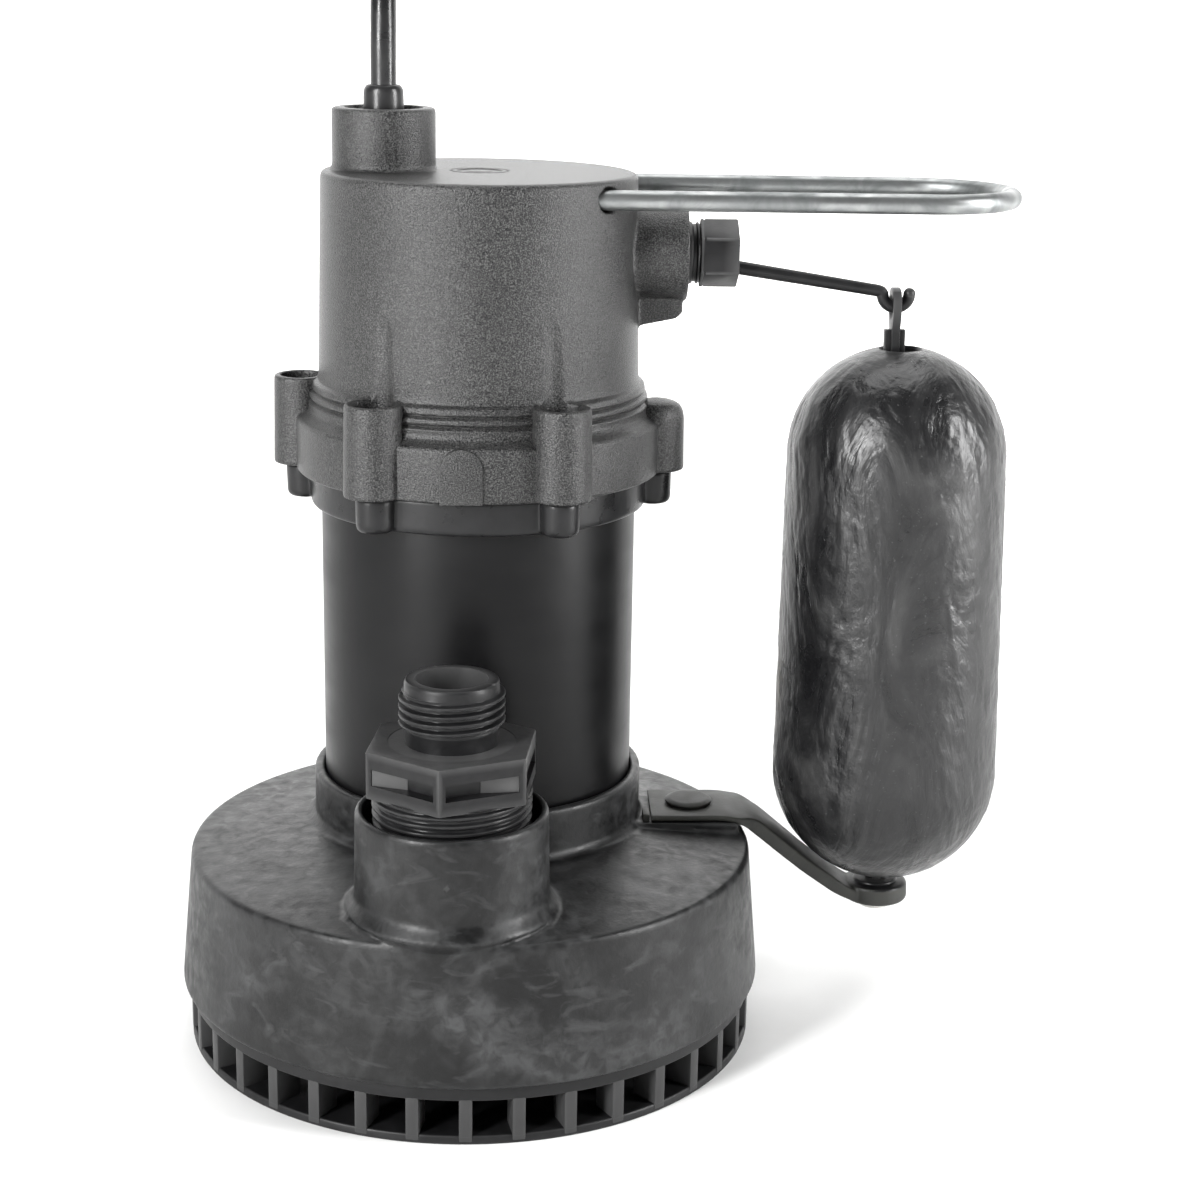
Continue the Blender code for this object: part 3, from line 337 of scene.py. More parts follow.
def around(radius, angle):
    """A point on a circle about the motor axis, its angle measured from -Y towards +X."""
    return radius * sin(angle), -radius * cos(angle)


def tilted(bottom, top):
    """Stands Z along the line from bottom to top, with its zero at the bottom."""
    turn = Vector((0, 0, 1)).rotation_difference((top - bottom).normalized())
    return Matrix.Translation(bottom) @ turn.to_matrix().to_4x4()


def smoothstep(low, high, value):
    t = min(1.0, max(0.0, (value - low) / (high - low)))
    return t * t * (3 - 2 * t)


def shown(obj, body, material, slot, *nodes):
    """Gives a piece its body and material, and lets it stand for its CAD nodes. The slot argument is not
    used.
    """
    obj.data.materials.clear()
    obj.data.materials.append(MATS[material])
    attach(obj, body)
    if nodes:
        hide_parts(*nodes)
    return obj


# ---------------------------------------------------------------- materials
class Surface:
    """A Principled material with its nodes, built up from noises in the object's own metres."""

    def __init__(self, name, color, roughness, metallic=0.0, specular=0.5):
        self.material = bpy.data.materials.new(name)
        self.material.use_nodes = True
        self.nodes = self.material.node_tree.nodes
        self.links = self.material.node_tree.links
        self.shader = self.nodes["Principled BSDF"]
        self.shader.inputs["Base Color"].default_value = (*color, 1.0)
        self.shader.inputs["Roughness"].default_value = roughness
        self.shader.inputs["Metallic"].default_value = metallic
        self.shader.inputs["Specular IOR Level"].default_value = specular
        self.coords = self.nodes.new("ShaderNodeTexCoord").outputs["Object"]

    def noise(self, scale, detail=3.0, stretch=(1, 1, 1), twist=0.0, turn=(0, 0, 0)):
        mapping = self.nodes.new("ShaderNodeMapping")
        mapping.inputs["Scale"].default_value = stretch
        mapping.inputs["Rotation"].default_value = turn
        self.links.new(self.coords, mapping.inputs["Vector"])
        texture = self.nodes.new("ShaderNodeTexNoise")
        texture.inputs["Scale"].default_value = scale
        texture.inputs["Detail"].default_value = detail
        texture.inputs["Distortion"].default_value = twist
        self.links.new(mapping.outputs["Vector"], texture.inputs["Vector"])
        return texture.outputs["Fac"]

    def edges(self):
        """Bright on convex edges, dark in grooves."""
        return self.nodes.new("ShaderNodeNewGeometry").outputs["Pointiness"]

    def ramp(self, value, *stops):
        """Maps a value through (position, grey or colour) stops."""
        node = self.nodes.new("ShaderNodeValToRGB")
        elements = node.color_ramp.elements
        while len(elements) < len(stops):
            elements.new(0.5)
        for element, (position, color) in zip(elements, stops):
            element.position = position
            rgb = (color,) * 3 if isinstance(color, (int, float)) else color
            element.color = (*rgb, 1.0)
        self.links.new(value, node.inputs["Fac"])
        return node.outputs["Color"]

    def mix(self, first, second, share, mode="MIX"):
        node = self.nodes.new("ShaderNodeMix")
        node.data_type = "RGBA"
        node.blend_type = mode
        colours = [s for s in node.inputs if s.type == "RGBA"]
        for socket, value in ((node.inputs[0], share), (colours[0], first), (colours[1], second)):
            if isinstance(value, bpy.types.NodeSocket):
                self.links.new(value, socket)
            else:
                socket.default_value = (*value, 1.0) if isinstance(value, tuple) else value
        return next(s for s in node.outputs if s.type == "RGBA")

    def color(self, socket):
        self.links.new(socket, self.shader.inputs["Base Color"])

    def roughness(self, socket):
        self.links.new(socket, self.shader.inputs["Roughness"])

    def bump(self, value, distance, strength, under=None):
        """Raises the surface by a value, over the bump that is already under it."""
        node = self.nodes.new("ShaderNodeBump")
        node.inputs["Distance"].default_value = distance
        node.inputs["Strength"].default_value = strength
        self.links.new(value, node.inputs["Height"])
        if under is not None:
            self.links.new(under, node.inputs["Normal"])
        self.links.new(node.outputs["Normal"], self.shader.inputs["Normal"])
        return node.outputs["Normal"]


def scaled(color, factor):
    return tuple(factor * c for c in color)


def grained_plastic(name, dark, light, roughness, grain, depth):
    """Moulded plastic with a sparkling grain, faint clouds and paler, rubbed edges."""
    surface = Surface(name, dark, roughness)
    speckle = surface.noise(grain, 2.0)
    clouds = surface.noise(38.0, 5.0, twist=0.6)
    base = surface.mix(surface.ramp(speckle, (0.44, dark), (0.70, light)),
                       surface.ramp(clouds, (0.35, 0.72), (0.65, 1.0)), 0.75, "MULTIPLY")
    worn = surface.ramp(surface.edges(), (0.56, 0.0), (0.64, 0.45))
    surface.color(surface.mix(base, scaled(light, 1.6), worn))
    surface.roughness(surface.ramp(speckle, (0.3, roughness - 0.10), (0.7, roughness + 0.12)))
    low = surface.bump(surface.noise(95.0, 3.0), 0.00010, 0.5)
    surface.bump(speckle, depth, 1.0, low)
    return surface.material


def scuffed_plastic(name, dark, light, roughness):
    """Smooth black moulding, dusty and mottled, with fine scuffs and pale edges."""
    surface = Surface(name, dark, roughness, specular=0.36)
    clouds = surface.noise(30.0, 8.0, twist=1.4)
    mottle = surface.noise(260.0, 6.0, twist=0.5)
    streaks = surface.noise(75.0, 7.0, stretch=(1, 1, 2.2), twist=1.2)
    base = surface.mix(surface.ramp(clouds, (0.42, dark), (0.60, light),
                                    (0.74, scaled(light, 2.0))),
                       surface.ramp(mottle, (0.40, 0.35), (0.60, 1.0)), 0.9, "MULTIPLY")
    dusty = surface.mix(base, scaled(light, 2.0),
                        surface.ramp(streaks, (0.56, 0.0), (0.74, 0.6)))
    worn = surface.ramp(surface.edges(), (0.515, 0.0), (0.60, 0.5))
    surface.color(surface.mix(dusty, scaled(light, 1.9), worn))
    surface.roughness(surface.ramp(mottle, (0.3, roughness - 0.10), (0.72, roughness + 0.14)))
    low = surface.bump(clouds, 0.00035, 0.35)
    surface.bump(surface.noise(900.0, 4.0), 0.00006, 0.8, low)
    return surface.material


def smooth_plastic(name, color, roughness, wear=0.35):
    """Plain black moulding with a faint mottle and paler edges."""
    surface = Surface(name, color, roughness, specular=0.28)
    mottle = surface.noise(180.0, 5.0, twist=0.4)
    base = surface.ramp(mottle, (0.3, scaled(color, 0.75)),
                        (0.7, scaled(color, 1.35)))
    worn = surface.ramp(surface.edges(), (0.515, 0.0), (0.60, wear))
    surface.color(surface.mix(base, (0.16, 0.16, 0.16), worn))
    surface.roughness(surface.ramp(mottle, (0.3, roughness - 0.06), (0.7, roughness + 0.10)))
    surface.bump(surface.noise(700.0, 3.0), 0.00004, 0.7)
    return surface.material


def satin_paint(name):
    """Near-black paint, its gloss uneven along the tube."""
    surface = Surface(name, (0.010, 0.010, 0.011), 0.34, specular=0.20)
    haze = surface.noise(30.0, 4.0, stretch=(1, 1, 3))
    surface.color(surface.ramp(haze, (0.35, (0.0020, 0.0020, 0.0023)),
                               (0.7, (0.0042, 0.0042, 0.0045))))
    surface.roughness(surface.ramp(haze, (0.3, 0.30), (0.7, 0.40)))
    surface.bump(surface.noise(420.0, 2.0), 0.00003, 0.6)
    return surface.material


def zinc_plate(name):
    """Dull plated rod with cloudy patches and drawing lines along it."""
    surface = Surface(name, (0.50, 0.51, 0.51), 0.36, metallic=1.0)
    patches = surface.noise(90.0, 6.0, twist=0.8)
    drawn = surface.noise(500.0, 4.0, stretch=(0.06, 1, 1))
    surface.color(surface.ramp(patches, (0.30, (0.16, 0.17, 0.17)), (0.50, (0.29, 0.30, 0.30)),
                               (0.72, (0.44, 0.45, 0.45))))
    surface.roughness(surface.ramp(patches, (0.3, 0.52), (0.7, 0.30)))
    surface.bump(drawn, 0.00006, 0.8)
    return surface.material


def bright_steel(name):
    surface = Surface(name, (0.62, 0.62, 0.61), 0.24, metallic=1.0)
    tint = surface.noise(300.0, 4.0)
    surface.color(surface.ramp(tint, (0.3, (0.45, 0.44, 0.42)), (0.7, (0.74, 0.73, 0.70))))
    surface.roughness(surface.ramp(tint, (0.3, 0.20), (0.7, 0.36)))
    surface.bump(surface.noise(1500.0, 2.0), 0.00002, 0.6)
    return surface.material


def float_skin(name):
    """Blow-moulded skin: oily sheen, pale flecks, painted shade in the folds and a painted highlight on
    their crests, paler still on the sharpest crests.
    """
    surface = Surface(name, (0.022, 0.022, 0.023), 0.36)
    folds = surface.noise(46.0, 6.0, stretch=(1, 1, 0.45), twist=2.4, turn=(0.35, 0.5, 0.2))
    flecks = surface.noise(1300.0, 3.0)
    # painted shade and painted highlight: the colour follows the fold relief of the bump below, dark in
    # the folds and pale on the crests
    base = surface.ramp(folds, (0.34, (0.005, 0.005, 0.0055)), (0.52, (0.012, 0.012, 0.0125)),
                        (0.68, (0.030, 0.030, 0.030)))
    specks = surface.ramp(flecks, (0.66, 0.0), (0.74, 0.40))
    flecked = surface.mix(base, (0.10, 0.10, 0.10), specks)
    worn = surface.ramp(surface.edges(), (0.52, 0.0), (0.62, 0.40))
    surface.color(surface.mix(flecked, (0.12, 0.12, 0.12), worn))
    surface.roughness(surface.ramp(folds, (0.32, 0.24), (0.70, 0.42)))
    low = surface.bump(folds, 0.00110, 0.9)
    surface.bump(surface.noise(420.0, 4.0), 0.00022, 0.8, low)
    return surface.material


def soft_rubber(name, color, roughness, dust):
    """Rubber with a dusty bloom and paler edges."""
    surface = Surface(name, color, roughness)
    bloom = surface.noise(120.0, 6.0, twist=0.6)
    base = surface.ramp(bloom, (0.32, scaled(color, 0.8)), (0.7, dust))
    worn = surface.ramp(surface.edges(), (0.515, 0.0), (0.60, 0.45))
    surface.color(surface.mix(base, scaled(dust, 1.8), worn))
    surface.roughness(surface.ramp(bloom, (0.3, roughness - 0.08), (0.7, roughness + 0.10)))
    surface.bump(surface.noise(1100.0, 3.0), 0.00005, 0.8)
    return surface.material


def plain_metal(name, dark, light, roughness):
    surface = Surface(name, light, roughness, metallic=1.0)
    stain = surface.noise(400.0, 5.0)
    surface.color(surface.ramp(stain, (0.3, dark), (0.7, light)))
    surface.roughness(surface.ramp(stain, (0.3, roughness + 0.12), (0.7, roughness)))
    surface.bump(stain, 0.00004, 0.6)
    return surface.material


MATS = {
    "cover": grained_plastic("cover_plastic", (0.004, 0.004, 0.0045), (0.082, 0.082, 0.080),
                             0.36, 2600.0, 0.00022),
    "housing": scuffed_plastic("housing_plastic", (0.004, 0.0042, 0.0045),
                               (0.024, 0.0245, 0.025), 0.42),
    "screen": smooth_plastic("screen_plastic", (0.007, 0.007, 0.0075), 0.40, 0.35),
    "fitting": smooth_plastic("fitting_plastic", (0.008, 0.008, 0.0085), 0.36),
    "ring": smooth_plastic("ring_plastic", (0.010, 0.010, 0.0105), 0.30, 0.20),
    "can": satin_paint("black_paint"),
    "zinc": zinc_plate("zinc_plate"),
    "steel": bright_steel("bright_steel"),
    "float": float_skin("float_skin"),
    "rubber": soft_rubber("black_rubber", (0.012, 0.012, 0.012), 0.50, (0.024, 0.024, 0.024)),
    "cord": soft_rubber("cord_jacket", (0.008, 0.008, 0.0085), 0.30, (0.014, 0.014, 0.0145)),
    "strap": soft_rubber("olive_rubber", (0.012, 0.0125, 0.0105), 0.55, (0.027, 0.0275, 0.0235)),
    "copper": plain_metal("enamelled_copper", (0.30, 0.11, 0.05), (0.62, 0.27, 0.13), 0.34),
    "iron": plain_metal("laminated_iron", (0.10, 0.10, 0.10), (0.28, 0.28, 0.29), 0.46),
    "brass": plain_metal("plug_brass", (0.48, 0.36, 0.16), (0.78, 0.62, 0.32), 0.26),
    "impeller": smooth_plastic("impeller_plastic", (0.09, 0.09, 0.09), 0.45, 0.2),
    "switch": smooth_plastic("switch_plastic", (0.28, 0.04, 0.025), 0.42, 0.1),
}


# ---------------------------------------------------------------- lower housing
def volute_housing():
    """Drum with a shallow conical deck, collar round the motor, boss and strap bracket."""
    inside = DRUM_EDGE_Z - DRUM_WALL
    low = DRUM_LOW.z
    drum = lathe("drum", fillet([
        (0.0, DRUM_DECK_Z), (0.0400, DRUM_DECK_Z), (DRUM_R_HIGH - 0.0004, DRUM_EDGE_Z, 0.0014),
        (DRUM_R, low + 0.0003, 0.0008), (DRUM_R - 0.0012, low), (DRUM_R - DRUM_WALL, low),
        (DRUM_R_HIGH - DRUM_WALL, inside), (0.0, inside)]), 192, at(DRUM_X, DRUM_Y))
    bracket_low, bracket_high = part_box("strap_anchor")
    front, back = bracket_low.y - 0.0008, bracket_high.y + 0.0005
    top, end = bracket_low.z - 0.0003, bracket_high.x + 0.0005
    added = [
        drum,
        cylinder("collar", COLLAR_R, inside + 0.001, COLLAR_TOP, 160, 0.0010),
        lathe("boss", fillet([(0.0, BOSS_TOP), (BOSS_R, BOSS_TOP, 0.0012),
                              (BOSS_R + 0.0004, DRUM_DECK_Z + 0.0020, 0.0010),
                              (BOSS_R + 0.0030, DRUM_DECK_Z - 0.0012), (BOSS_R, inside + 0.001),
                              (0.0, inside + 0.001)]), 128, at(NOZZLE_X, NOZZLE_Y)),
        lathe("collar_foot", fillet([(0.0, DRUM_DECK_Z + 0.0016),
                                     (COLLAR_R, DRUM_DECK_Z + 0.0016, 0.001),
                                     (COLLAR_R + 0.0016, DRUM_DECK_Z - 0.0004),
                                     (COLLAR_R, inside + 0.001), (0.0, inside + 0.001)]), 128),
        block("bracket", (0.0420, front, inside), (end, back, top), 0.0003),
        block("bracket_lip", (0.0440, front - 0.0004, top - 0.0014), (end, front + 0.001, top),
              0.0003)]
    removed = [
        cylinder("tube_seat", TUBE_R + 0.0003, DRUM_DECK_Z + 0.0001, 0.10, 160),
        lathe("outlet", [(0.0, 0.09), (BOSS_MOUTH_R, 0.09), (BOSS_MOUTH_R, 0.0745),
                         (0.0212, 0.0735), (0.0212, 0.0600), (0.0150, 0.0600), (0.0150, 0.0400),
                         (0.0, 0.0400)], 128, at(NOZZLE_X, NOZZLE_Y)),
        block("ledge_groove", (0.0440, front - 0.001, top - 0.0022), (end + 0.001, front + 0.0004,
                                                                   top - 0.0016), 0.0)]
    piece = moulded("drum_shell", added, removed, 0.00058, 3)
    return shown(piece, BODY, "housing", "housing", "volute_housing")


def intake_screen():
    """Shallow cup whose wall is a row of ribs between an upper band and a lower rim."""
    count, rib_width, rib_depth = 36, 0.0034, 0.0085
    rim_top, band_low = 0.0023, 0.0122
    stand = at(DRUM_X, DRUM_Y)
    radius = SCREEN_R - 0.0001
    parts = [
        lathe("screen_floor", fillet([(0.0, rim_top), (radius - 0.004, rim_top),
                                      (radius - 0.0004, rim_top, 0.0005), (radius, 0.0, 0.0006),
                                      (0.0, 0.0)]), 180, stand),
        lathe("screen_band", fillet([(radius - 0.0032, SCREEN_TOP), (radius, SCREEN_TOP, 0.0004),
                                     (radius, band_low, 0.0005), (radius - 0.0032, band_low)],
                                    closed=True), 180, stand)]
    for k in range(count):
        turn = stand @ Matrix.Rotation(2 * pi * k / count, 4, "Z")
        parts.append(block("rib", (-rib_width / 2, -radius + 0.0001, 0.0006),
                           (rib_width / 2, -radius + rib_depth, SCREEN_TOP - 0.0002), 0.0004, turn))
        parts.append(block("rib_face", (-rib_width / 2 + 0.0003, -radius, rim_top - 0.0004),
                           (rib_width / 2 - 0.0003, -radius + 0.002, band_low + 0.0006), 0.0004,
                           turn))
    joined = bmesh.new()
    for part in parts:
        joined.from_mesh(part.data)
        bpy.data.objects.remove(part)
    piece = from_bmesh("intake_cup", joined)
    return shown(piece, BODY, "screen", "housing", "intake_screen")


def thread_crest(share):
    """0 in the root and 1 on the crest of a rounded thread, over one turn of its helix."""
    return smoothstep(0.25, 0.80, abs(2.0 * (share % 1.0) - 1.0))


def discharge_adapter():
    """A turned body with the pipe thread at its foot and the garden-hose thread on top."""
    neck, core = 0.0118, 0.0166
    thread_top = HOSE_TOP - 0.0030
    thread_low = thread_top - 4.0 * HOSE_PITCH
    pipe_crest, pipe_pitch, pipe_depth = 0.0206, 0.00221, 0.0009

    def shaped(r, angle, z):
        turn = angle / (2 * pi)
        if thread_low - 0.0006 < z < thread_top + 0.0004 and r >= HOSE_ROOT_R:
            ends = smoothstep(thread_low - 0.0006, thread_low + 0.0006, z)
            ends *= 1.0 - smoothstep(thread_top - 0.0004, thread_top + 0.0004, z)
            depth = HOSE_R - HOSE_ROOT_R
            return HOSE_ROOT_R + depth * ends * thread_crest(z / HOSE_PITCH - turn)
        if z < HEX_Z[0] and r > 0.0185:
            return r - pipe_depth * (1.0 - thread_crest(z / pipe_pitch - turn))
        return r

    mouth = fillet([(HOSE_BORE_R, HOSE_TOP), (neck, HOSE_TOP, 0.0005),
                    (HOSE_ROOT_R, HOSE_TOP - 0.0010)])
    hose_rows = [(HOSE_ROOT_R, thread_top + 0.0004 - 0.00011 * k) for k in range(92)]
    pipe_rows = [(pipe_crest - 0.0006 * k / 110, HEX_Z[0] - 0.0002 - 0.00020 * k)
                 for k in range(110)]
    profile = [*mouth, *hose_rows, (HOSE_ROOT_R - 0.0002, thread_low - 0.0012),
               (HOSE_ROOT_R - 0.0002, 0.0985), (core, 0.0985), (core, HEX_Z[0] + 0.0004),
               (pipe_crest, HEX_Z[0] + 0.0004), *pipe_rows, (0.0165, 0.0630),
               (0.0165, HEX_Z[0] - 0.004), (HOSE_BORE_R, HEX_Z[0] + 0.001)]
    body = lathe("adapter_threads", profile, 160, at(NOZZLE_X, NOZZLE_Y), shaped)
    shown(body, BODY, "fitting", "fitting", "discharge_adapter")
    adapter_hexagon()


def adapter_hexagon():
    """The nut: a pocket in each face, and in most of them a ramp that rises to one side."""
    stand = at(NOZZLE_X, NOZZLE_Y)
    low, high = HEX_Z
    turned = -pi / 2 + HEX_TURN
    nut = hexagon("adapter_hexagon", HEX_R, low, high, turn=turned, edge=0.0005, place=stand)
    flat = HEX_R * cos(pi / 6)
    pocket_low, pocket_high, half = low + 0.0038, high - 0.0043, 0.0099
    inner, outer = 0.0008, 0.0102
    removed = [cylinder("hexagon_bore", 0.0163, 0.08, 0.12, 96, 0.0, stand)]
    ramps = []
    for face in range(6):
        angle = turned + pi / 6 + face * pi / 3
        turn = stand @ Matrix.Rotation(angle, 4, "Z")
        removed.append(block("pocket", (flat - 0.0034, -half, pocket_low),
                             (flat + 0.001, half, pocket_high), 0.0, turn))
        side = -1.0 if cos(angle) * sin(angle) > 0 else 1.0
        if abs(cos(angle)) < 0.95:
            wedge = [(flat - 0.0036, side * inner), (flat - 0.0036, side * outer),
                     (flat - 0.0003, side * outer), (flat - 0.0033, side * inner)]
            ramp = slab("pocket_ramp", wedge, pocket_low - 0.0002, pocket_high + 0.0002, axis="Z")
            ramp.data.transform(turn)
            ramps.append(ramp)
    shown(carved("adapter_hexagon", [nut], removed), BODY, "fitting", "fitting")
    lid = lathe("adapter_shoulder", [(HOSE_ROOT_R - 0.0004, high - 0.0001), (0.0193, high - 0.0001),
                                     (0.0193, high - 0.0020), (HOSE_ROOT_R - 0.0004, high - 0.0020)],
                128, stand)
    shown(lid, BODY, "fitting", "fitting")
    for number, ramp in enumerate(ramps, 1):
        ramp.name = f"adapter_ramp_{number}"
        shown(ramp, BODY, "fitting", "fitting")


# ---------------------------------------------------------------- motor, ring and cover
def motor_tube():
    wall = 0.0015
    piece = lathe("motor_can", fillet([
        (TUBE_R - wall, TUBE_HIGH.z), (TUBE_R, TUBE_HIGH.z, 0.0006), (TUBE_R, TUBE_LOW.z, 0.0006),
        (TUBE_R - wall, TUBE_LOW.z)], closed=True), 256)
    return shown(piece, BODY, "can", "can", "motor_tube")


def clamp_ring():
    """Ring under the cover's flange, with a blind lug for each screw."""
    low, high = RING_LOW.z, RING_HIGH.z
    added = [lathe("ring", fillet([
        (0.0, high), (RING_R, high, 0.0005), (RING_R, low, 0.0014), (0.0, low)]), 192)]
    for angle in [*LUG_ANGLES, CLOSED_LUG_ANGLE]:
        added.append(lathe("ring_lug", fillet([
            (0.0, high - 0.0001), (0.0052, high - 0.0001, 0.0004), (0.0050, low + 0.0001, 0.0020),
            (0.0, low + 0.0001)]), 48, at(*around(RING_LUG_CIRCLE_R, angle))))
    removed = [cylinder("ring_bore", TUBE_R + 0.0003, 0.10, 0.20, 192)]
    piece = moulded("clamp_ring", added, removed, 0.00045, 5)
    return shown(piece, BODY, "ring", "fitting", "lower_clamp_ring")


def on_lug_circle(angle):
    return at(*around(LUG_CIRCLE_R, angle))


def arch_pad(low):
    """Raised pad with a round top on the flange's front."""
    middle_x, half, spring = -0.0037, 0.0055, 0.1652
    arch = [(middle_x - half, low + 0.0001), (middle_x + half, low + 0.0001)]
    arch += [(middle_x + half * cos(a), spring + half * sin(a))
             for a in (pi * k / 16 for k in range(17))]
    pad = slab("cover_arch_pad", arch, -FLANGE_R - 0.0009, -0.0465, 0.00025)
    shown(pad, BODY, "cover", "cover")


def cover_skirt(low):
    """Ridges and flange round the foot of the cover, kept crisp by not being remeshed."""
    skirt = lathe("cover_skirt", fillet([
        (0.0420, 0.1822), (COVER_R_LOW - 0.0001, 0.1819), (0.0437, 0.1806, 0.0004),
        (0.0450, 0.1799, 0.0005), (0.0453, 0.1784, 0.0003), (0.0446, 0.1778, 0.0002),
        (0.0458, 0.1771, 0.0003), (0.0459, 0.1760, 0.0003), (0.0450, 0.1753, 0.0002),
        (0.0462, 0.1745, 0.0003), (0.0460, 0.1734, 0.0005), (0.0463, 0.1720, 0.0012),
        (0.0480, 0.1709, 0.0008), (FLANGE_R - 0.0006, FLANGE_TOP, 0.0005),
        (FLANGE_R, FLANGE_TOP - 0.0009, 0.0004), (FLANGE_R + 0.0001, low + 0.0004, 0.0003),
        (FLANGE_R - 0.0004, low), (0.0440, low)], 3, closed=True), 256)
    bores = [cylinder("skirt_bore", LUG_BORE_R, 0.15, 0.20, 48, 0.0, on_lug_circle(angle))
             for angle in LUG_ANGLES]
    shown(carved("cover_skirt", [skirt], bores), BODY, "cover", "cover")


def cover_solids(low):
    """The cover's wall and everything that stands out from it."""
    shell = lathe("shell", fillet([
        (0.0, COVER_TOP), (COVER_R_TOP, COVER_TOP, 0.0017), (COVER_R_LOW, 0.1816, 0.0010),
        (0.0442, 0.1792), (0.0445, 0.1735), (0.0468, FLANGE_TOP - 0.0006),
        (FLANGE_R - 0.0006, FLANGE_TOP - 0.0016), (FLANGE_R - 0.0006, low), (0.0, low)]), 192)
    lugs = [lathe("lug", fillet([
        (0.0, LUG_TOP), (LUG_R - 0.0004, LUG_TOP, 0.0005), (LUG_R, low + 0.0001, 0.0004),
        (0.0, low + 0.0001)]), 64, on_lug_circle(angle)) for angle in LUG_ANGLES]
    closed_lug = lathe("closed_lug", fillet([
        (0.0, 0.1760), (0.0060, 0.1750, 0.003), (LUG_R - 0.0002, 0.1722, 0.002),
        (LUG_R, low + 0.0001, 0.0005), (0.0, low + 0.0001)]), 64, on_lug_circle(CLOSED_LUG_ANGLE))
    cord_boss = lathe("cord_boss", fillet([
        (0.0, COVER_HIGH.z), (CORD_BOSS_R, COVER_HIGH.z, 0.0009),
        (CORD_BOSS_R, COVER_TOP + 0.0010, 0.0004), (CORD_BOSS_R + 0.0006, COVER_TOP - 0.0002),
        (CORD_BOSS_R - 0.001, COVER_TOP - 0.010), (0.0, COVER_TOP - 0.010)]), 96,
        at(CORD_X, CORD_Y))
    switch_boss = cylinder("switch_boss", SWITCH_BOSS_R, 0.0350, SWITCH_BOSS_END, 96, 0.0005,
                           along_x(0, 0, SWITCH_Z))
    key = slab("switch_key", [(0.0395, 0.2045), (0.0395, 0.1957), (0.0425, 0.1957),
                              (0.0530, 0.1978), (0.0547, 0.1995), (0.0547, 0.2045)],
               -0.0050, 0.0050)
    return [shell, *lugs, closed_lug, cord_boss, switch_boss, key]


def cover_cuts():
    """The cover's hollow, and the bores for the cord, the switch, the screws and the handle."""
    wall = 0.0030
    cavity = lathe("cavity", fillet([
        (0.0, COVER_TOP - wall), (COVER_R_TOP - wall, COVER_TOP - wall, 0.002),
        (COVER_R_LOW - wall, 0.1655), (TUBE_R + 0.0003, 0.1655), (TUBE_R + 0.0003, 0.14),
        (0.0, 0.14)]), 160)
    cord_recess = lathe("cord_recess", [
        (0.0, 0.27), (CORD_BOSS_BORE_R, 0.27), (CORD_BOSS_BORE_R, 0.2470), (0.0068, 0.2470),
        (0.0068, 0.21), (0.0, 0.21)], 96, at(CORD_X, CORD_Y))
    gland_bore = cylinder("gland_bore", GLAND_BORE_R, 0.0300, 0.0700, 64, 0.0,
                          along_x(0, 0, SWITCH_Z))
    medallion_pocket = cylinder("medallion_pocket", 0.0079, COVER_TOP - 0.0009,
                                COVER_TOP + 0.01, 96)
    lug_bores = [lathe("lug_bore", [
        (0.0, 0.20), (LUG_BORE_R, 0.20), (LUG_BORE_R, LUG_SEAT_Z), (0.0024, LUG_SEAT_Z),
        (0.0024, 0.14), (0.0, 0.14)], 48, on_lug_circle(angle)) for angle in LUG_ANGLES]
    handle_holes = [cylinder("handle_hole", HANDLE_R + 0.0007, 0.0200, 0.0600, 48, 0.0,
                             along_x(0, side * HANDLE_HALF, HANDLE_Z)) for side in (-1, 1)]
    return [cavity, cord_recess, gland_bore, medallion_pocket, *lug_bores, *handle_holes]


def top_cover():
    """Textured cover with screw lugs, cord boss, switch boss, flange and a blank medallion."""
    low = COVER_LOW.z
    arch_pad(low)
    cover_skirt(low)
    shell = moulded("cover_shell", cover_solids(low), cover_cuts(), 0.00052, 4)
    shown(shell, BODY, "cover", "cover", "top_cover")
    medallion = lathe("cover_medallion", fillet([
        (0.0, COVER_TOP - 0.0001), (0.0034, COVER_TOP - 0.0001), (0.0038, COVER_TOP - 0.0003),
        (0.0058, COVER_TOP - 0.0003), (0.0062, COVER_TOP), (0.0073, COVER_TOP, 0.0003),
        (0.0073, COVER_TOP - 0.0013), (0.0, COVER_TOP - 0.0013)]), 96)
    shown(medallion, BODY, "cover", "cover")


HANDLE_Z = (HANDLE_LOW.z + HANDLE_HIGH.z) / 2
HANDLE_R = (HANDLE_HIGH.z - HANDLE_LOW.z) / 2
HANDLE_HALF = HANDLE_HIGH.y - HANDLE_R


def cover_screws():
    """Hexagon washer-head screws, deep in the lugs."""
    for number, angle in enumerate(LUG_ANGLES, 1):
        place = on_lug_circle(angle)
        seat = LUG_SEAT_Z + 0.0003
        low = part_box(f"cover_screw_{number}")[0].z
        washer = lathe("washer", fillet([
            (0.0, seat + 0.0012), (0.0046, seat + 0.0012, 0.0003), (0.0048, seat, 0.0002),
            (0.0019, seat), (0.0019, low), (0.0, low)]), 48, place)
        head = hexagon("head", 0.0044, seat + 0.0008, seat + 0.0046, turn=angle, edge=0.0004,
                       place=place)
        slot = block("slot", (-0.006, -0.0005, seat + 0.0034), (0.006, 0.0005, seat + 0.006), 0.0,
                     place @ Matrix.Rotation(angle * 2.3, 4, "Z"))
        piece = carved(f"lug_screw_{number}", [washer, head], [slot])
        shown(piece, BODY, "steel", "steel", f"cover_screw_{number}")


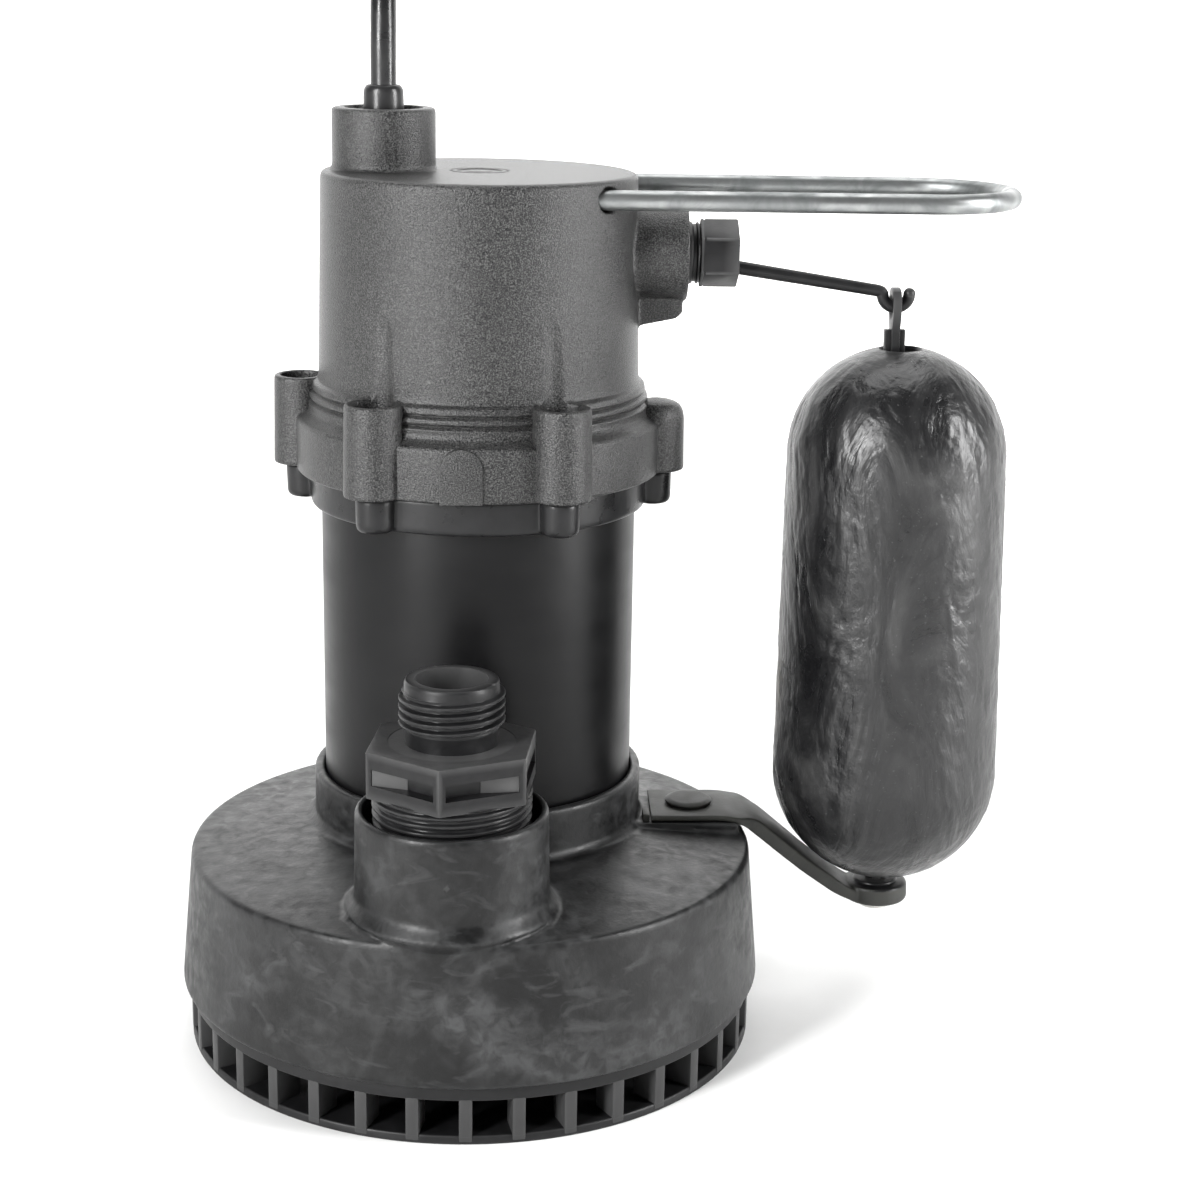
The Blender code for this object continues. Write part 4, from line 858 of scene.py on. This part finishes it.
def handle():
    """A U of zinc-plated rod that lies level, its two ends in the cover."""
    centre = HANDLE_HIGH.x - HANDLE_R - HANDLE_HALF
    bend = [(centre + HANDLE_HALF * sin(a), -HANDLE_HALF * cos(a), HANDLE_Z)
            for a in (pi * k / 48 for k in range(49))]
    root = HANDLE_LOW.x
    leg = [root + (centre - root) * k / 12 for k in range(12)]
    points = [(x, -HANDLE_HALF, HANDLE_Z) for x in leg] + bend
    points += [(x, HANDLE_HALF, HANDLE_Z) for x in reversed(leg)]
    piece = tube("handle_rod", points, HANDLE_R)
    return shown(piece, BODY, "zinc", "zinc", "handle")


# ---------------------------------------------------------------- float switch
def gland():
    stand = along_x(0, 0, SWITCH_Z)
    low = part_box("switch_gland")[0].x
    end = NUT_LOW.x - 0.0003
    collar = lathe("gland_sleeve", fillet([
        (0.0052, end), (0.0081, end, 0.0003), (0.0083, 0.0583, 0.0002), (0.0077, 0.0579),
        (0.0077, 0.0572), (0.0083, 0.0568, 0.0002), (0.0083, SWITCH_BOSS_END + 0.0003),
        (GLAND_BORE_R - 0.0003, SWITCH_BOSS_END + 0.0003), (GLAND_BORE_R - 0.0003, low),
        (0.0034, low)], closed=True), 96, stand)
    shown(collar, BODY, "fitting", "fitting", "switch_gland")
    nut = hexagon("nut", 0.0092, NUT_LOW.x, NUT_HIGH.x, edge=0.0005, place=stand)
    cone = lathe("nut_cone", [(0.0, 0.0750), (0.0075, 0.0750), (0.0052, 0.0585), (0.0, 0.0585)], 64,
                 stand)
    groove = lathe("nut_groove", [(0.0088, 0.0604), (0.0120, 0.0604), (0.0120, 0.0600),
                                  (0.0088, 0.0600)], 64, stand)
    hexed = carved("gland_hexagon", [nut], [cone, groove])
    shown(hexed, BODY, "fitting", "fitting", "gland_nut")


JOINTS = {joint["name"]: joint for joint in frame["joints"]}
PIVOT = Vector(JOINTS["switch_arm_hinge"]["pos_m"])
HOOK = Vector((0.1129, 0.0, 0.2046))
HOOK_R = 0.00365


def switch_arm():
    """Tapered plastic arm, straight out of the nut and down into an open hook."""
    arm_in, arm_out = 0.0021, 0.00165
    tip = Vector((HOOK.x - HOOK_R, 0.0, HOOK.z + 0.0006))
    lean = (tip - PIVOT).normalized()
    start = PIVOT - lean * 0.0150
    elbow = tip - lean * 0.0030
    arc = [HOOK + HOOK_R * Vector((cos(a), 0.0, sin(a)))
           for a in (pi + 0.15 + (pi - 0.15) * k / 24 for k in range(25))]
    bend = interpolate_bezier(elbow, elbow + lean * 0.0022, arc[0] + Vector((-0.0001, 0, 0.0012)),
                              arc[0], 8)
    straight = [start.lerp(elbow, k / 14) for k in range(14)]
    points = [*straight, *bend[:-1], *arc]
    total = (elbow - start).length
    radii = [1.0 + (arm_out / arm_in - 1.0) * min(1.0, (p - start).length / total) for p in points]
    radii[-1] *= 0.80
    piece = tube("arm_rod", points, arm_in, radii)
    knob = lathe("arm_tip", [(arm_out * 1.02 * sin(a), arm_out * 1.02 * cos(a))
                             for a in (pi * k / 10 for k in range(11))], 24)
    knob.data.transform(Matrix.Translation(points[-1]))
    shown(piece, "switch_arm", "fitting", "fitting", "switch_arm")
    shown(knob, "switch_arm", "fitting", "fitting")


ROD_TOP = Vector(JOINTS["float_rod_hinge"]["pos_m"])
ROD_FOOT = Vector((middle("float_foot").x, 0.0, 0.0312))


def float_rod():
    """Flat eye on the hook, cross-shaped stem through the float, and a stepped foot."""
    place = tilted(ROD_FOOT, ROD_TOP)
    length = (ROD_TOP - ROD_FOOT).length
    centre_z = length + 0.0001
    eye_r, flare = 0.0022, 0.0018
    eye_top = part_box("float_rod")[1].z - ROD_FOOT.z
    half = 0.0044
    outline = [(-0.0027, length - 0.0110), (0.0027, length - 0.0110), (0.0029, length - 0.0060),
               (half, length - 0.0020), (half, centre_z + 0.0022), (0.0032, eye_top - 0.0006),
               (0.0014, eye_top), (-0.0014, eye_top), (-0.0032, eye_top - 0.0006),
               (-half, centre_z + 0.0022), (-half, length - 0.0020), (-0.0029, length - 0.0060)]
    strip = slab("eye", outline, -0.00115, 0.00115, 0.0003, axis="X")
    shoulder = length - 0.0055
    added = [strip,
             block("stem_wide", (-0.00285, -0.0011, 0.004),
                   (0.00285, 0.0011, shoulder - 0.0005), 0.0003),
             block("stem_deep", (-0.0011, -0.00285, 0.004), (0.0011, 0.00285, shoulder), 0.0003),
             lathe("stud", fillet([(0.0, 0.0060), (0.0022, 0.0060), (0.0022, -0.0043, 0.0004),
                                   (0.0, -0.0043)]), 48)]
    eye_hole = lathe("eye_hole", [(0.0, 0.0016), (eye_r + flare, 0.0016), (eye_r, 0.0),
                                  (eye_r + flare, -0.0016), (0.0, -0.0016)], 48,
                     along_x(0.0, 0.0, centre_z))
    piece = carved("stem", added, [eye_hole])
    piece.data.transform(place)
    shown(piece, "float_rod", "fitting", "fitting", "float_rod")
    foot = lathe("stem_foot", fillet([
        (0.0025, 0.0041), (0.0060, 0.0041, 0.0003), (0.0063, 0.0034, 0.0003), (0.0086, 0.0033, 0.0006),
        (0.0092, 0.0026, 0.0005), (0.0088, 0.0019, 0.0003), (0.0025, 0.0019)], closed=True), 96, place)
    shown(foot, "float_rod", "fitting", "fitting", "float_foot")
    low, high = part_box("foot_clip")
    clip_high = high.z - ROD_FOOT.z
    clip_low = low.z - ROD_FOOT.z
    clip = lathe("stem_clip", fillet([
        (0.0025, clip_high), (0.0052, clip_high, 0.0003), (0.0046, clip_low + 0.0002, 0.0003),
        (0.0025, clip_low)], closed=True), 64, place)
    shown(clip, "float_rod", "steel", "fitting", "foot_clip")


def float_body():
    """Blow-moulded capsule, leaning a little, with folds pressed into its skin."""
    top, bottom = Vector((0.1149, 0.0, 0.1903)), Vector((0.1164, 0.0, 0.0371))
    length = (top - bottom).length
    r_high, r_low, bore = 0.0303, 0.0317, 0.00555
    steps = 40
    start = asin((bore + 0.0007) / r_high)
    upper = [(r_high * sin(a), length - r_high + r_high * cos(a))
             for a in (start + (pi / 2 - start) * k / steps for k in range(steps + 1))]
    side_low, side_high = r_low, length - r_high
    side = [(r_high + (r_low - r_high) * k / 60, side_high + (side_low - side_high) * k / 60)
            for k in range(1, 60)]
    end = asin((bore + 0.0007) / r_low)
    lower = [(r_low * cos(a), r_low - r_low * sin(a))
             for a in ((pi / 2 - end) * k / steps for k in range(steps + 1))]
    skin = upper + side + lower
    profile = skin + [(bore, lower[-1][1] + 0.0005), (bore, upper[0][1] - 0.0008)]
    skin_zone = (lower[-1][1] + 0.0004, upper[0][1] - 0.0004)

    def wrinkled(r, angle, z):
        if r <= bore + 0.0001:
            return r
        p = Vector((cos(angle) * 3.1, sin(angle) * 3.1, z * 95.0))
        warp = Vector((noise.noise(p * 0.55 + Vector((7.0, 0, 0))),
                       noise.noise(p * 0.55 + Vector((0, 7.0, 0))),
                       noise.noise(p * 0.55 + Vector((0, 0, 7.0)))))
        q = p + warp * 2.6
        fold = 1.0 - abs(noise.noise(q * 0.9)) * 2.0
        tight = Vector((q.x * 2.6 + 3.0, q.y * 2.6 + 1.0, q.z * 1.5 + 2.0))
        fine = 1.0 - abs(noise.noise(tight)) * 2.0
        dents = noise.noise(p * 0.33 + Vector((11, 4, 2)))
        fade = smoothstep(skin_zone[0], skin_zone[0] + 0.006, z)
        fade *= 1.0 - smoothstep(skin_zone[1] - 0.006, skin_zone[1], z)
        depth = 0.00030 * max(0.0, fold - 0.35) + 0.00016 * max(0.0, fine - 0.3)
        return r - 0.00028 + (depth + 0.00022 * dents) * fade

    piece = lathe("float_skin", profile, 288, tilted(bottom, top), wrinkled)
    shown(piece, "float", "float", "float", "float")


def strap_section(half_width, half_thick):
    """Corners of a flat band's section, as (across, up)."""
    edge = 0.0007
    corners = [(-half_width, -half_thick, edge), (half_width, -half_thick, edge),
               (half_width, half_thick, edge), (-half_width, half_thick, edge)]
    return fillet(corners, 3, closed=True)


def band(name, stations):
    """A loft through stations of (x, z, y, half width, half thickness)."""
    bm = bmesh.new()
    rings = []
    for i, (x, z, y, half_width, half_thick) in enumerate(stations):
        ahead = stations[min(i + 1, len(stations) - 1)]
        behind = stations[max(i - 1, 0)]
        heading = atan2(ahead[1] - behind[1], ahead[0] - behind[0])
        section = strap_section(half_width, half_thick)
        rings.append([bm.verts.new((x - v * sin(heading), y + u, z + v * cos(heading)))
                      for u, v in section])
    for first, second in zip(rings, rings[1:]):
        for k in range(len(first)):
            n = (k + 1) % len(first)
            bm.faces.new((first[k], first[n], second[n], second[k]))
    bm.faces.new(rings[0][::-1])
    bm.faces.new(rings[-1])
    bmesh.ops.recalc_face_normals(bm, faces=bm.faces)
    return from_bmesh(name, bm, radians(40))


def curve_through(points, spacing):
    """Points a spacing apart along a smooth curve through the given ones, as tuples."""
    pts = [Vector(p) for p in points]
    line = []
    for i in range(len(pts) - 1):
        before, start = pts[max(i - 1, 0)], pts[i]
        end, after = pts[i + 1], pts[min(i + 2, len(pts) - 1)]
        span = (end - start).length
        lean_in = (end - before).normalized() * span / 3
        lean_out = (after - start).normalized() * span / 3
        steps = max(2, ceil(span / spacing))
        line += interpolate_bezier(start, start + lean_in, end - lean_out, end, steps + 1)[:-1]
    return [*line, pts[-1]]


def strap():
    """Moulded rubber strap: a plate under a flat-headed button, a curved band, and an eye."""
    anchor_low, anchor_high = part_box("strap_anchor")
    middle_y = (anchor_low.y + anchor_high.y) / 2
    z_anchor = (anchor_low.z + anchor_high.z) / 2
    route = [(anchor_low.x, z_anchor), (0.0600, z_anchor), (0.0690, z_anchor), (0.0746, 0.0570),
             (0.0778, 0.0551), (0.0820, 0.0517), (0.0880, 0.0465), (0.0940, 0.0414),
             (0.1000, 0.0369), (0.1050, 0.0334), (0.1100, 0.0313), (0.1150, 0.0309)]
    line = curve_through([(x, 0.0, z) for x, z in route], 0.0009)

    def station(p):
        grown = smoothstep(0.0735, 0.0790, p.x)
        narrowed = smoothstep(0.0780, 0.1000, p.x)
        width = (anchor_high.y - anchor_low.y) / 2 * (1 - grown) + 0.0076 * grown
        width += (0.0068 - width) * narrowed
        y = middle_y * (1 - smoothstep(0.0700, 0.1080, p.x)) - 0.0004
        thick = 0.0008 + (0.0020 - 0.0008) * smoothstep(0.0720, 0.0800, p.x)
        thick -= 0.0003 * smoothstep(0.1000, 0.1080, p.x)
        return p.x, p.z, y, width, thick

    stations = [station(p) for p in line]
    half_way = 0.0900
    first = [s for s in stations if s[0] < half_way]
    second = [s for s in stations if s[0] >= half_way - 0.0009]
    upper = band("strap_band", first)
    upper.data.materials.append(MATS["strap"])
    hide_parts("strap_anchor", "float_strap")
    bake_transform(upper)
    eye_x, eye_top = ROD_FOOT.x, EYE_HIGH.z
    lower_band = band("strap_tail", [s for s in second if s[0] < eye_x - 0.0045])
    eye = lathe("eye", fillet([
        (0.0, eye_top), (0.0091, eye_top, 0.0007), (0.0093, EYE_LOW.z, 0.0012),
        (0.0, EYE_LOW.z)]), 96, at(eye_x, 0.0))
    hole = cylinder("eye_bore", 0.0034, 0.02, 0.04, 48, 0.0, at(eye_x, 0.0))
    lower = moulded("strap_eye_band", [lower_band, eye], [hole], 0.00035, 4)
    lower.data.materials.clear()
    lower.data.materials.append(MATS["strap"])
    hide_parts("strap_eye")
    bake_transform(lower)
    button_low, button_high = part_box("strap_button")
    centre = (button_low + button_high) / 2
    radius = (button_high.x - button_low.x) / 2
    top = button_high.z
    head = lathe("button", fillet([
        (0.0, top), (radius - 0.0012, top - 0.0001, 0.0006), (radius, top - 0.0008, 0.0003),
        (radius - 0.0004, top - 0.0015), (0.0018, top - 0.0015), (0.0018, button_low.z),
        (0.0, button_low.z)]), 96, at(centre.x, centre.y))
    shown(head, BODY, "strap", "strap", "strap_button")
    stop = block("strap_stop", (COLLAR_R + 0.0006, anchor_low.y + 0.0004, DRUM_DECK_Z),
                 (anchor_low.x - 0.0005, anchor_low.y + 0.0060, anchor_high.z + 0.0002), 0.0003)
    shown(stop, BODY, "strap", "strap")


# ---------------------------------------------------------------- power cord
COIL_X, COIL_Y = (COIL_LOW.x + COIL_HIGH.x) / 2, (COIL_LOW.y + COIL_HIGH.y) / 2
COIL_MID_R = 0.0395
COIL_SWING = 0.0064
COIL_LAYERS, COIL_TURNS = 4, 8
COIL_START, COIL_END = 190.0, 160.0
LAYER_CHANGE, LAST_RISE = 100.0, 70.0
FIRST_LAYER_Z, TAIL_Z, TAIL_R = 0.0047, 0.0392, 0.0450
CORD_ROUTE = [
    (-0.0254, 0.0015, 0.2583), (-0.0254, 0.0015, 0.2620), (-0.0254, 0.0015, 0.2660),
    (-0.0254, 0.0027, 0.2748), (-0.0255, 0.0061, 0.2830), (-0.0257, 0.0115, 0.2900),
    (-0.0260, 0.0185, 0.2954), (-0.0264, 0.0267, 0.2988), (-0.0269, 0.0355, 0.2998),
    (-0.0273, 0.0443, 0.2988), (-0.0277, 0.0525, 0.2954), (-0.0281, 0.0595, 0.2900),
    (-0.0284, 0.0649, 0.2830), (-0.0286, 0.0683, 0.2748), (-0.0288, 0.0695, 0.2660),
    (-0.0294, 0.0695, 0.2400), (-0.0301, 0.0695, 0.2050), (-0.0307, 0.0695, 0.1700),
    (-0.0314, 0.0695, 0.1350), (-0.0323, 0.0695, 0.1000), (-0.0337, 0.0695, 0.0670),
    (-0.0362, 0.0695, 0.0347), (-0.0372, 0.0705, 0.0269), (-0.0383, 0.0735, 0.0197),
    (-0.0395, 0.0783, 0.0135), (-0.0407, 0.0845, 0.0087), (-0.0411, 0.0873, 0.0073),
    (-0.0418, 0.0917, 0.0057), (-0.0428, 0.0995, 0.0047), (-0.0439, 0.1068, 0.0047)]
TAIL_ROUTE = [
    (-0.0397, 0.1428, 0.0369), (-0.0360, 0.1476, 0.0379), (-0.0314, 0.1516, 0.0387),
    (-0.0261, 0.1546, 0.0391)]
PLUG_STAND = at(-0.0055, 0.1596, 0.0392) @ Matrix.Rotation(radians(12), 4, "Z")
PLUG_RELIEF_X = -0.0155


def coil_line():
    """Four layers of turns that wind in and out by turns, then climb on to the coil's top."""
    sweep = COIL_START - COIL_END + 360.0 * COIL_TURNS
    flat = (sweep - (COIL_LAYERS - 1) * LAYER_CHANGE - LAST_RISE) / COIL_LAYERS
    pitch = 2 * CORD_R
    top_layer = FIRST_LAYER_Z + (COIL_LAYERS - 1) * pitch
    count = ceil(sweep / 15.0)
    line = []
    for i in range(count + 1):
        turned = sweep * i / count
        layer = min(COIL_LAYERS - 1, int(turned / (flat + LAYER_CHANGE)))
        into = turned - layer * (flat + LAYER_CHANGE)
        inward = 1.0 if layer % 2 == 0 else -1.0
        radius = COIL_MID_R + inward * COIL_SWING * (1.0 - 2.0 * min(1.0, into / flat))
        height = FIRST_LAYER_Z + layer * pitch
        if into > flat and layer < COIL_LAYERS - 1:
            height += pitch * smoothstep(0.0, LAYER_CHANGE, into - flat)
        elif into > flat:
            height = top_layer + (TAIL_Z - top_layer) * smoothstep(0.0, LAST_RISE * 1.5, into - flat)
            radius += (TAIL_R - radius) * smoothstep(0.0, LAST_RISE, into - flat)
        angle = radians(COIL_START - turned)
        line.append((COIL_X + radius * cos(angle), COIL_Y + radius * sin(angle), height))
    return line


def power_cord():
    """The whole lead as one curve: out of the bushing, over and down behind the pump, coiled."""
    points = [*CORD_ROUTE, *coil_line(), *TAIL_ROUTE,
              tuple(PLUG_STAND @ Vector((PLUG_RELIEF_X + 0.0008, 0.0, 0.0)))]
    curve = bpy.data.curves.new("power_lead", "CURVE")
    curve.dimensions = "3D"
    curve.bevel_depth = CORD_R
    curve.bevel_resolution = 8
    curve.resolution_u = 8
    curve.use_fill_caps = True
    spline = curve.splines.new("BEZIER")
    spline.bezier_points.add(len(points) - 1)
    for knot, point in zip(spline.bezier_points, points):
        knot.co = point
        knot.handle_left_type = "AUTO"
        knot.handle_right_type = "AUTO"
    lead = bpy.data.objects.new("power_lead", curve)
    bpy.context.scene.collection.objects.link(lead)
    shown(lead, BODY, "cord", "cord", "power_cord", "cord_coil", "cord_tail")


def cord_exit():
    """Tapered rubber bushing round the cord, with a retaining ring in the boss."""
    stand = at(CORD_X, CORD_Y)
    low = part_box("cord_bushing")[0].z
    bore = CORD_R + 0.0001
    bushing = lathe("bushing", fillet([
        (bore, BUSHING_TOP), (0.0044, BUSHING_TOP, 0.0005), (0.0053, BUSHING_TOP - 0.0012, 0.0010),
        (0.0054, 0.2520), (0.0054, 0.2490), (0.0058, 0.2472, 0.0003), (0.0063, 0.2376, 0.001),
        (0.0063, low), (bore, low)], closed=True), 96, stand)
    shown(bushing, BODY, "cord", "cord", "cord_bushing")
    root = cylinder("cord_root", CORD_R - 0.00002, low + 0.001, BUSHING_TOP + 0.0004, 48, 0.0, stand)
    shown(root, BODY, "cord", "cord")
    ring_low, ring_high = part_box("cord_retainer")
    outer = CORD_BOSS_BORE_R - 0.0003
    retainer = lathe("retainer", fillet([
        (0.0060, ring_high.z), (outer, ring_high.z, 0.0004), (outer, ring_low.z, 0.0003),
        (0.0060, ring_low.z)], closed=True), 96, stand)
    shown(retainer, BODY, "ring", "fitting", "cord_retainer")


def coil_tie():
    """Rubber band round the coil's section."""
    low, high = COIL_LOW.z - 0.0003, COIL_HIGH.z + 0.0003
    inner, outer = COIL_MID_R - 0.0101, COIL_MID_R + 0.0101
    wall = 0.0009
    across = [((inner + outer) / 2 + side * ((outer - inner) / 2 + wall), z, 0.0028)
              for side, z in ((-1, low - wall), (1, low - wall), (1, high + wall), (-1, high + wall))]
    opening = [((inner + outer) / 2 + side * (outer - inner) / 2, z, 0.0020)
               for side, z in ((-1, low), (1, low), (1, high), (-1, high))]
    band_body = slab("tie", fillet(across, 6, closed=True), 0.0, 0.0060, 0.0003)
    hole = slab("tie_hole", fillet(opening, 6, closed=True), -0.01, 0.02)
    tie = carved("coil_band", [band_body], [hole])
    tie.data.transform(at(COIL_X, COIL_Y) @ Matrix.Rotation(radians(-20), 4, "Z"))
    return shown(tie, BODY, "rubber", "rubber", "cord_tie")


def plug():
    """Moulded mains plug with finger grooves and a ribbed, tapered relief."""
    front = 0.0345
    profile = fillet([
        (0.0, front), (0.0122, front, 0.0008), (0.0132, front - 0.0018, 0.0008), (0.0132, 0.0240, 0.003),
        (0.0112, 0.0200, 0.003), (0.0110, 0.0120, 0.003), (0.0070, 0.0080, 0.002),
        (0.0068, 0.0045), (0.0060, 0.0042), (0.0060, 0.0028), (0.0066, 0.0025), (0.0065, 0.0005),
        (0.0057, 0.0002), (0.0057, -0.0012), (0.0063, -0.0015), (0.0062, -0.0035),
        (0.0054, -0.0038), (0.0054, -0.0052), (0.0060, -0.0055), (0.0059, -0.0075),
        (0.0051, -0.0078), (0.0051, -0.0092), (0.0058, -0.0095), (0.0057, -0.0115),
        (0.0046, -0.0120, 0.0004), (0.0044, PLUG_RELIEF_X, 0.0004), (0.0, PLUG_RELIEF_X)], 3)
    turned_body = lathe("plug", profile, 96, along_x(0.0))
    flat = block("plug_flat", (-0.05, -0.05, -0.05), (0.05, 0.05, COIL_HIGH.z + 0.0004 - TAIL_Z), 0.0)
    ribs = [block("plug_groove", (x, -0.03, -0.004), (x + 0.0009, 0.03, 0.0045), 0.0)
            for x in (0.0135, 0.0157, 0.0179)]
    core = cylinder("plug_core", 0.0100, 0.0100, 0.0250, 64, 0.0, along_x(0.0))
    body = carved("mains_plug", [turned_body], [*ribs, flat])
    body.data.transform(PLUG_STAND)
    core.data.transform(PLUG_STAND)
    shown(body, BODY, "rubber", "rubber", "plug_body")
    shown(core, BODY, "rubber", "rubber")
    return [body, core]


# ---------------------------------------------------------------- pieces kept from the CAD
def finish_cad_nodes():
    """Gives every node that is still shown the look of its record slot."""
    looks = {part["node"]: part["material_slot"] for part in frame["record"]["subparts"]}
    for name, node in NODES.items():
        if not node.hide_render:
            node.data.materials.clear()
            node.data.materials.append(MATS[looks[name]])


# ---------------------------------------------------------------- studio
CAMERA_PLACE = Vector((0.0101613, -0.6233522, 0.2898605))
CAMERA_YAW, CAMERA_PITCH, CAMERA_ROLL = 0.0382, 0.2691, 0.0172
CAMERA_LENS, SENSOR = 69.33, 36.0


def camera():
    """The photograph's angle: just right of centre, a little above, rolled by one degree."""
    ahead = Vector((sin(CAMERA_YAW) * cos(CAMERA_PITCH), cos(CAMERA_YAW) * cos(CAMERA_PITCH),
                    -sin(CAMERA_PITCH)))
    level = Vector((cos(CAMERA_YAW), -sin(CAMERA_YAW), 0.0))
    above = level.cross(ahead)
    right = cos(CAMERA_ROLL) * level + sin(CAMERA_ROLL) * above
    up = cos(CAMERA_ROLL) * above - sin(CAMERA_ROLL) * level
    lens = bpy.data.cameras.new("camera")
    lens.lens = CAMERA_LENS
    lens.sensor_width = SENSOR
    lens.clip_start = 0.01
    viewer = bpy.data.objects.new("camera", lens)
    viewer.matrix_world = Matrix((
        (right.x, up.x, -ahead.x, CAMERA_PLACE.x), (right.y, up.y, -ahead.y, CAMERA_PLACE.y),
        (right.z, up.z, -ahead.z, CAMERA_PLACE.z), (0.0, 0.0, 0.0, 1.0)))
    bpy.context.scene.collection.objects.link(viewer)
    bpy.context.scene.camera = viewer


def area_light(name, place, aim, size, watts):
    lamp = bpy.data.lights.new(name, "AREA")
    lamp.shape = "RECTANGLE"
    lamp.size, lamp.size_y = size
    lamp.energy = watts
    light = bpy.data.objects.new(name, lamp)
    away = (Vector(place) - Vector(aim)).normalized()
    light.matrix_world = (Matrix.Translation(place)
                          @ away.to_track_quat("Z", "Y").to_matrix().to_4x4())
    bpy.context.scene.collection.objects.link(light)


def paper():
    """Pale matt paper. It glows a little beyond the object's reach, so that it stays pale there."""
    surface = Surface("paper", (0.86, 0.86, 0.855), 0.9, specular=0.1)
    fibres = surface.noise(60.0, 4.0)
    surface.color(surface.ramp(fibres, (0.3, (0.855, 0.855, 0.85)), (0.7, (0.875, 0.875, 0.87))))
    surface.bump(fibres, 0.0002, 0.2)
    reach = surface.nodes.new("ShaderNodeVectorMath")
    reach.operation = "LENGTH"
    surface.links.new(surface.coords, reach.inputs[0])
    surface.links.new(surface.ramp(reach.outputs["Value"], (0.60, 0.0), (0.98, 0.80)),
                      surface.shader.inputs["Emission Color"])
    surface.shader.inputs["Emission Strength"].default_value = 1.0
    return surface.material


def sweep():
    """The floor, which curves up into a backdrop behind the object."""
    half, near, far, bend, height = 3.0, -3.0, 1.6, 0.8, 2.2
    section = [(near, 0.0), (far - bend, 0.0)]
    section += [(far - bend + bend * sin(a), bend - bend * cos(a))
                for a in (pi / 2 * k / 24 for k in range(1, 25))]
    section.append((far, height))
    verts = [(x, y, z) for x in (-half, half) for y, z in section]
    count = len(section)
    faces = [(k, count + k, count + k + 1, k + 1) for k in range(count - 1)]
    mesh = bpy.data.meshes.new("studio_sweep")
    mesh.from_pydata(verts, [], faces)
    floor = new_object("studio_sweep", mesh)
    mesh.materials.append(paper())


def room():
    """A grey room whose walls are pale near the floor."""
    world = bpy.data.worlds.new("studio")
    world.use_nodes = True
    nodes, links = world.node_tree.nodes, world.node_tree.links
    direction = nodes.new("ShaderNodeTexCoord").outputs["Generated"]
    height = nodes.new("ShaderNodeSeparateXYZ")
    links.new(direction, height.inputs[0])
    walls = nodes.new("ShaderNodeValToRGB")
    low_stop, high_stop = walls.color_ramp.elements
    low_stop.position, low_stop.color = 0.03, (0.90, 0.90, 0.90, 1.0)
    high_stop.position, high_stop.color = 0.22, (0.15, 0.15, 0.15, 1.0)
    links.new(height.outputs["Z"], walls.inputs["Fac"])
    links.new(walls.outputs["Color"], nodes["Background"].inputs["Color"])
    nodes["Background"].inputs["Strength"].default_value = 1.0
    bpy.context.scene.world = world


def studio():
    """Two tall soft boxes beside the camera, one overhead and one on the backdrop."""
    sweep()
    room()
    aim = (0.0, 0.0, 0.14)
    area_light("key", (-0.75, -0.85, 0.55), aim, (0.22, 0.9), 24.0)
    area_light("rim", (1.05, -0.35, 0.45), aim, (0.22, 0.9), 16.0)
    area_light("overhead", (0.0, 0.35, 1.30), aim, (1.0, 0.8), 8.0)
    area_light("backdrop_wash", (0.0, 0.75, 1.10), (0.0, 1.6, 0.40), (2.4, 0.4), 9.0)


# ---------------------------------------------------------------- everything
camera()
cord_companions = [*plug(), coil_tie(), NODES["plug_blade_line"], NODES["plug_blade_neutral"],
                   NODES["plug_ground_pin"]]
power_cord()
cord_exit()
volute_housing()
intake_screen()
discharge_adapter()
motor_tube()
clamp_ring()
top_cover()
cover_screws()
handle()
gland()
switch_arm()
float_rod()
float_body()
strap()
finish_cad_nodes()
studio()

bpy.context.scene.view_settings.view_transform = "Standard"
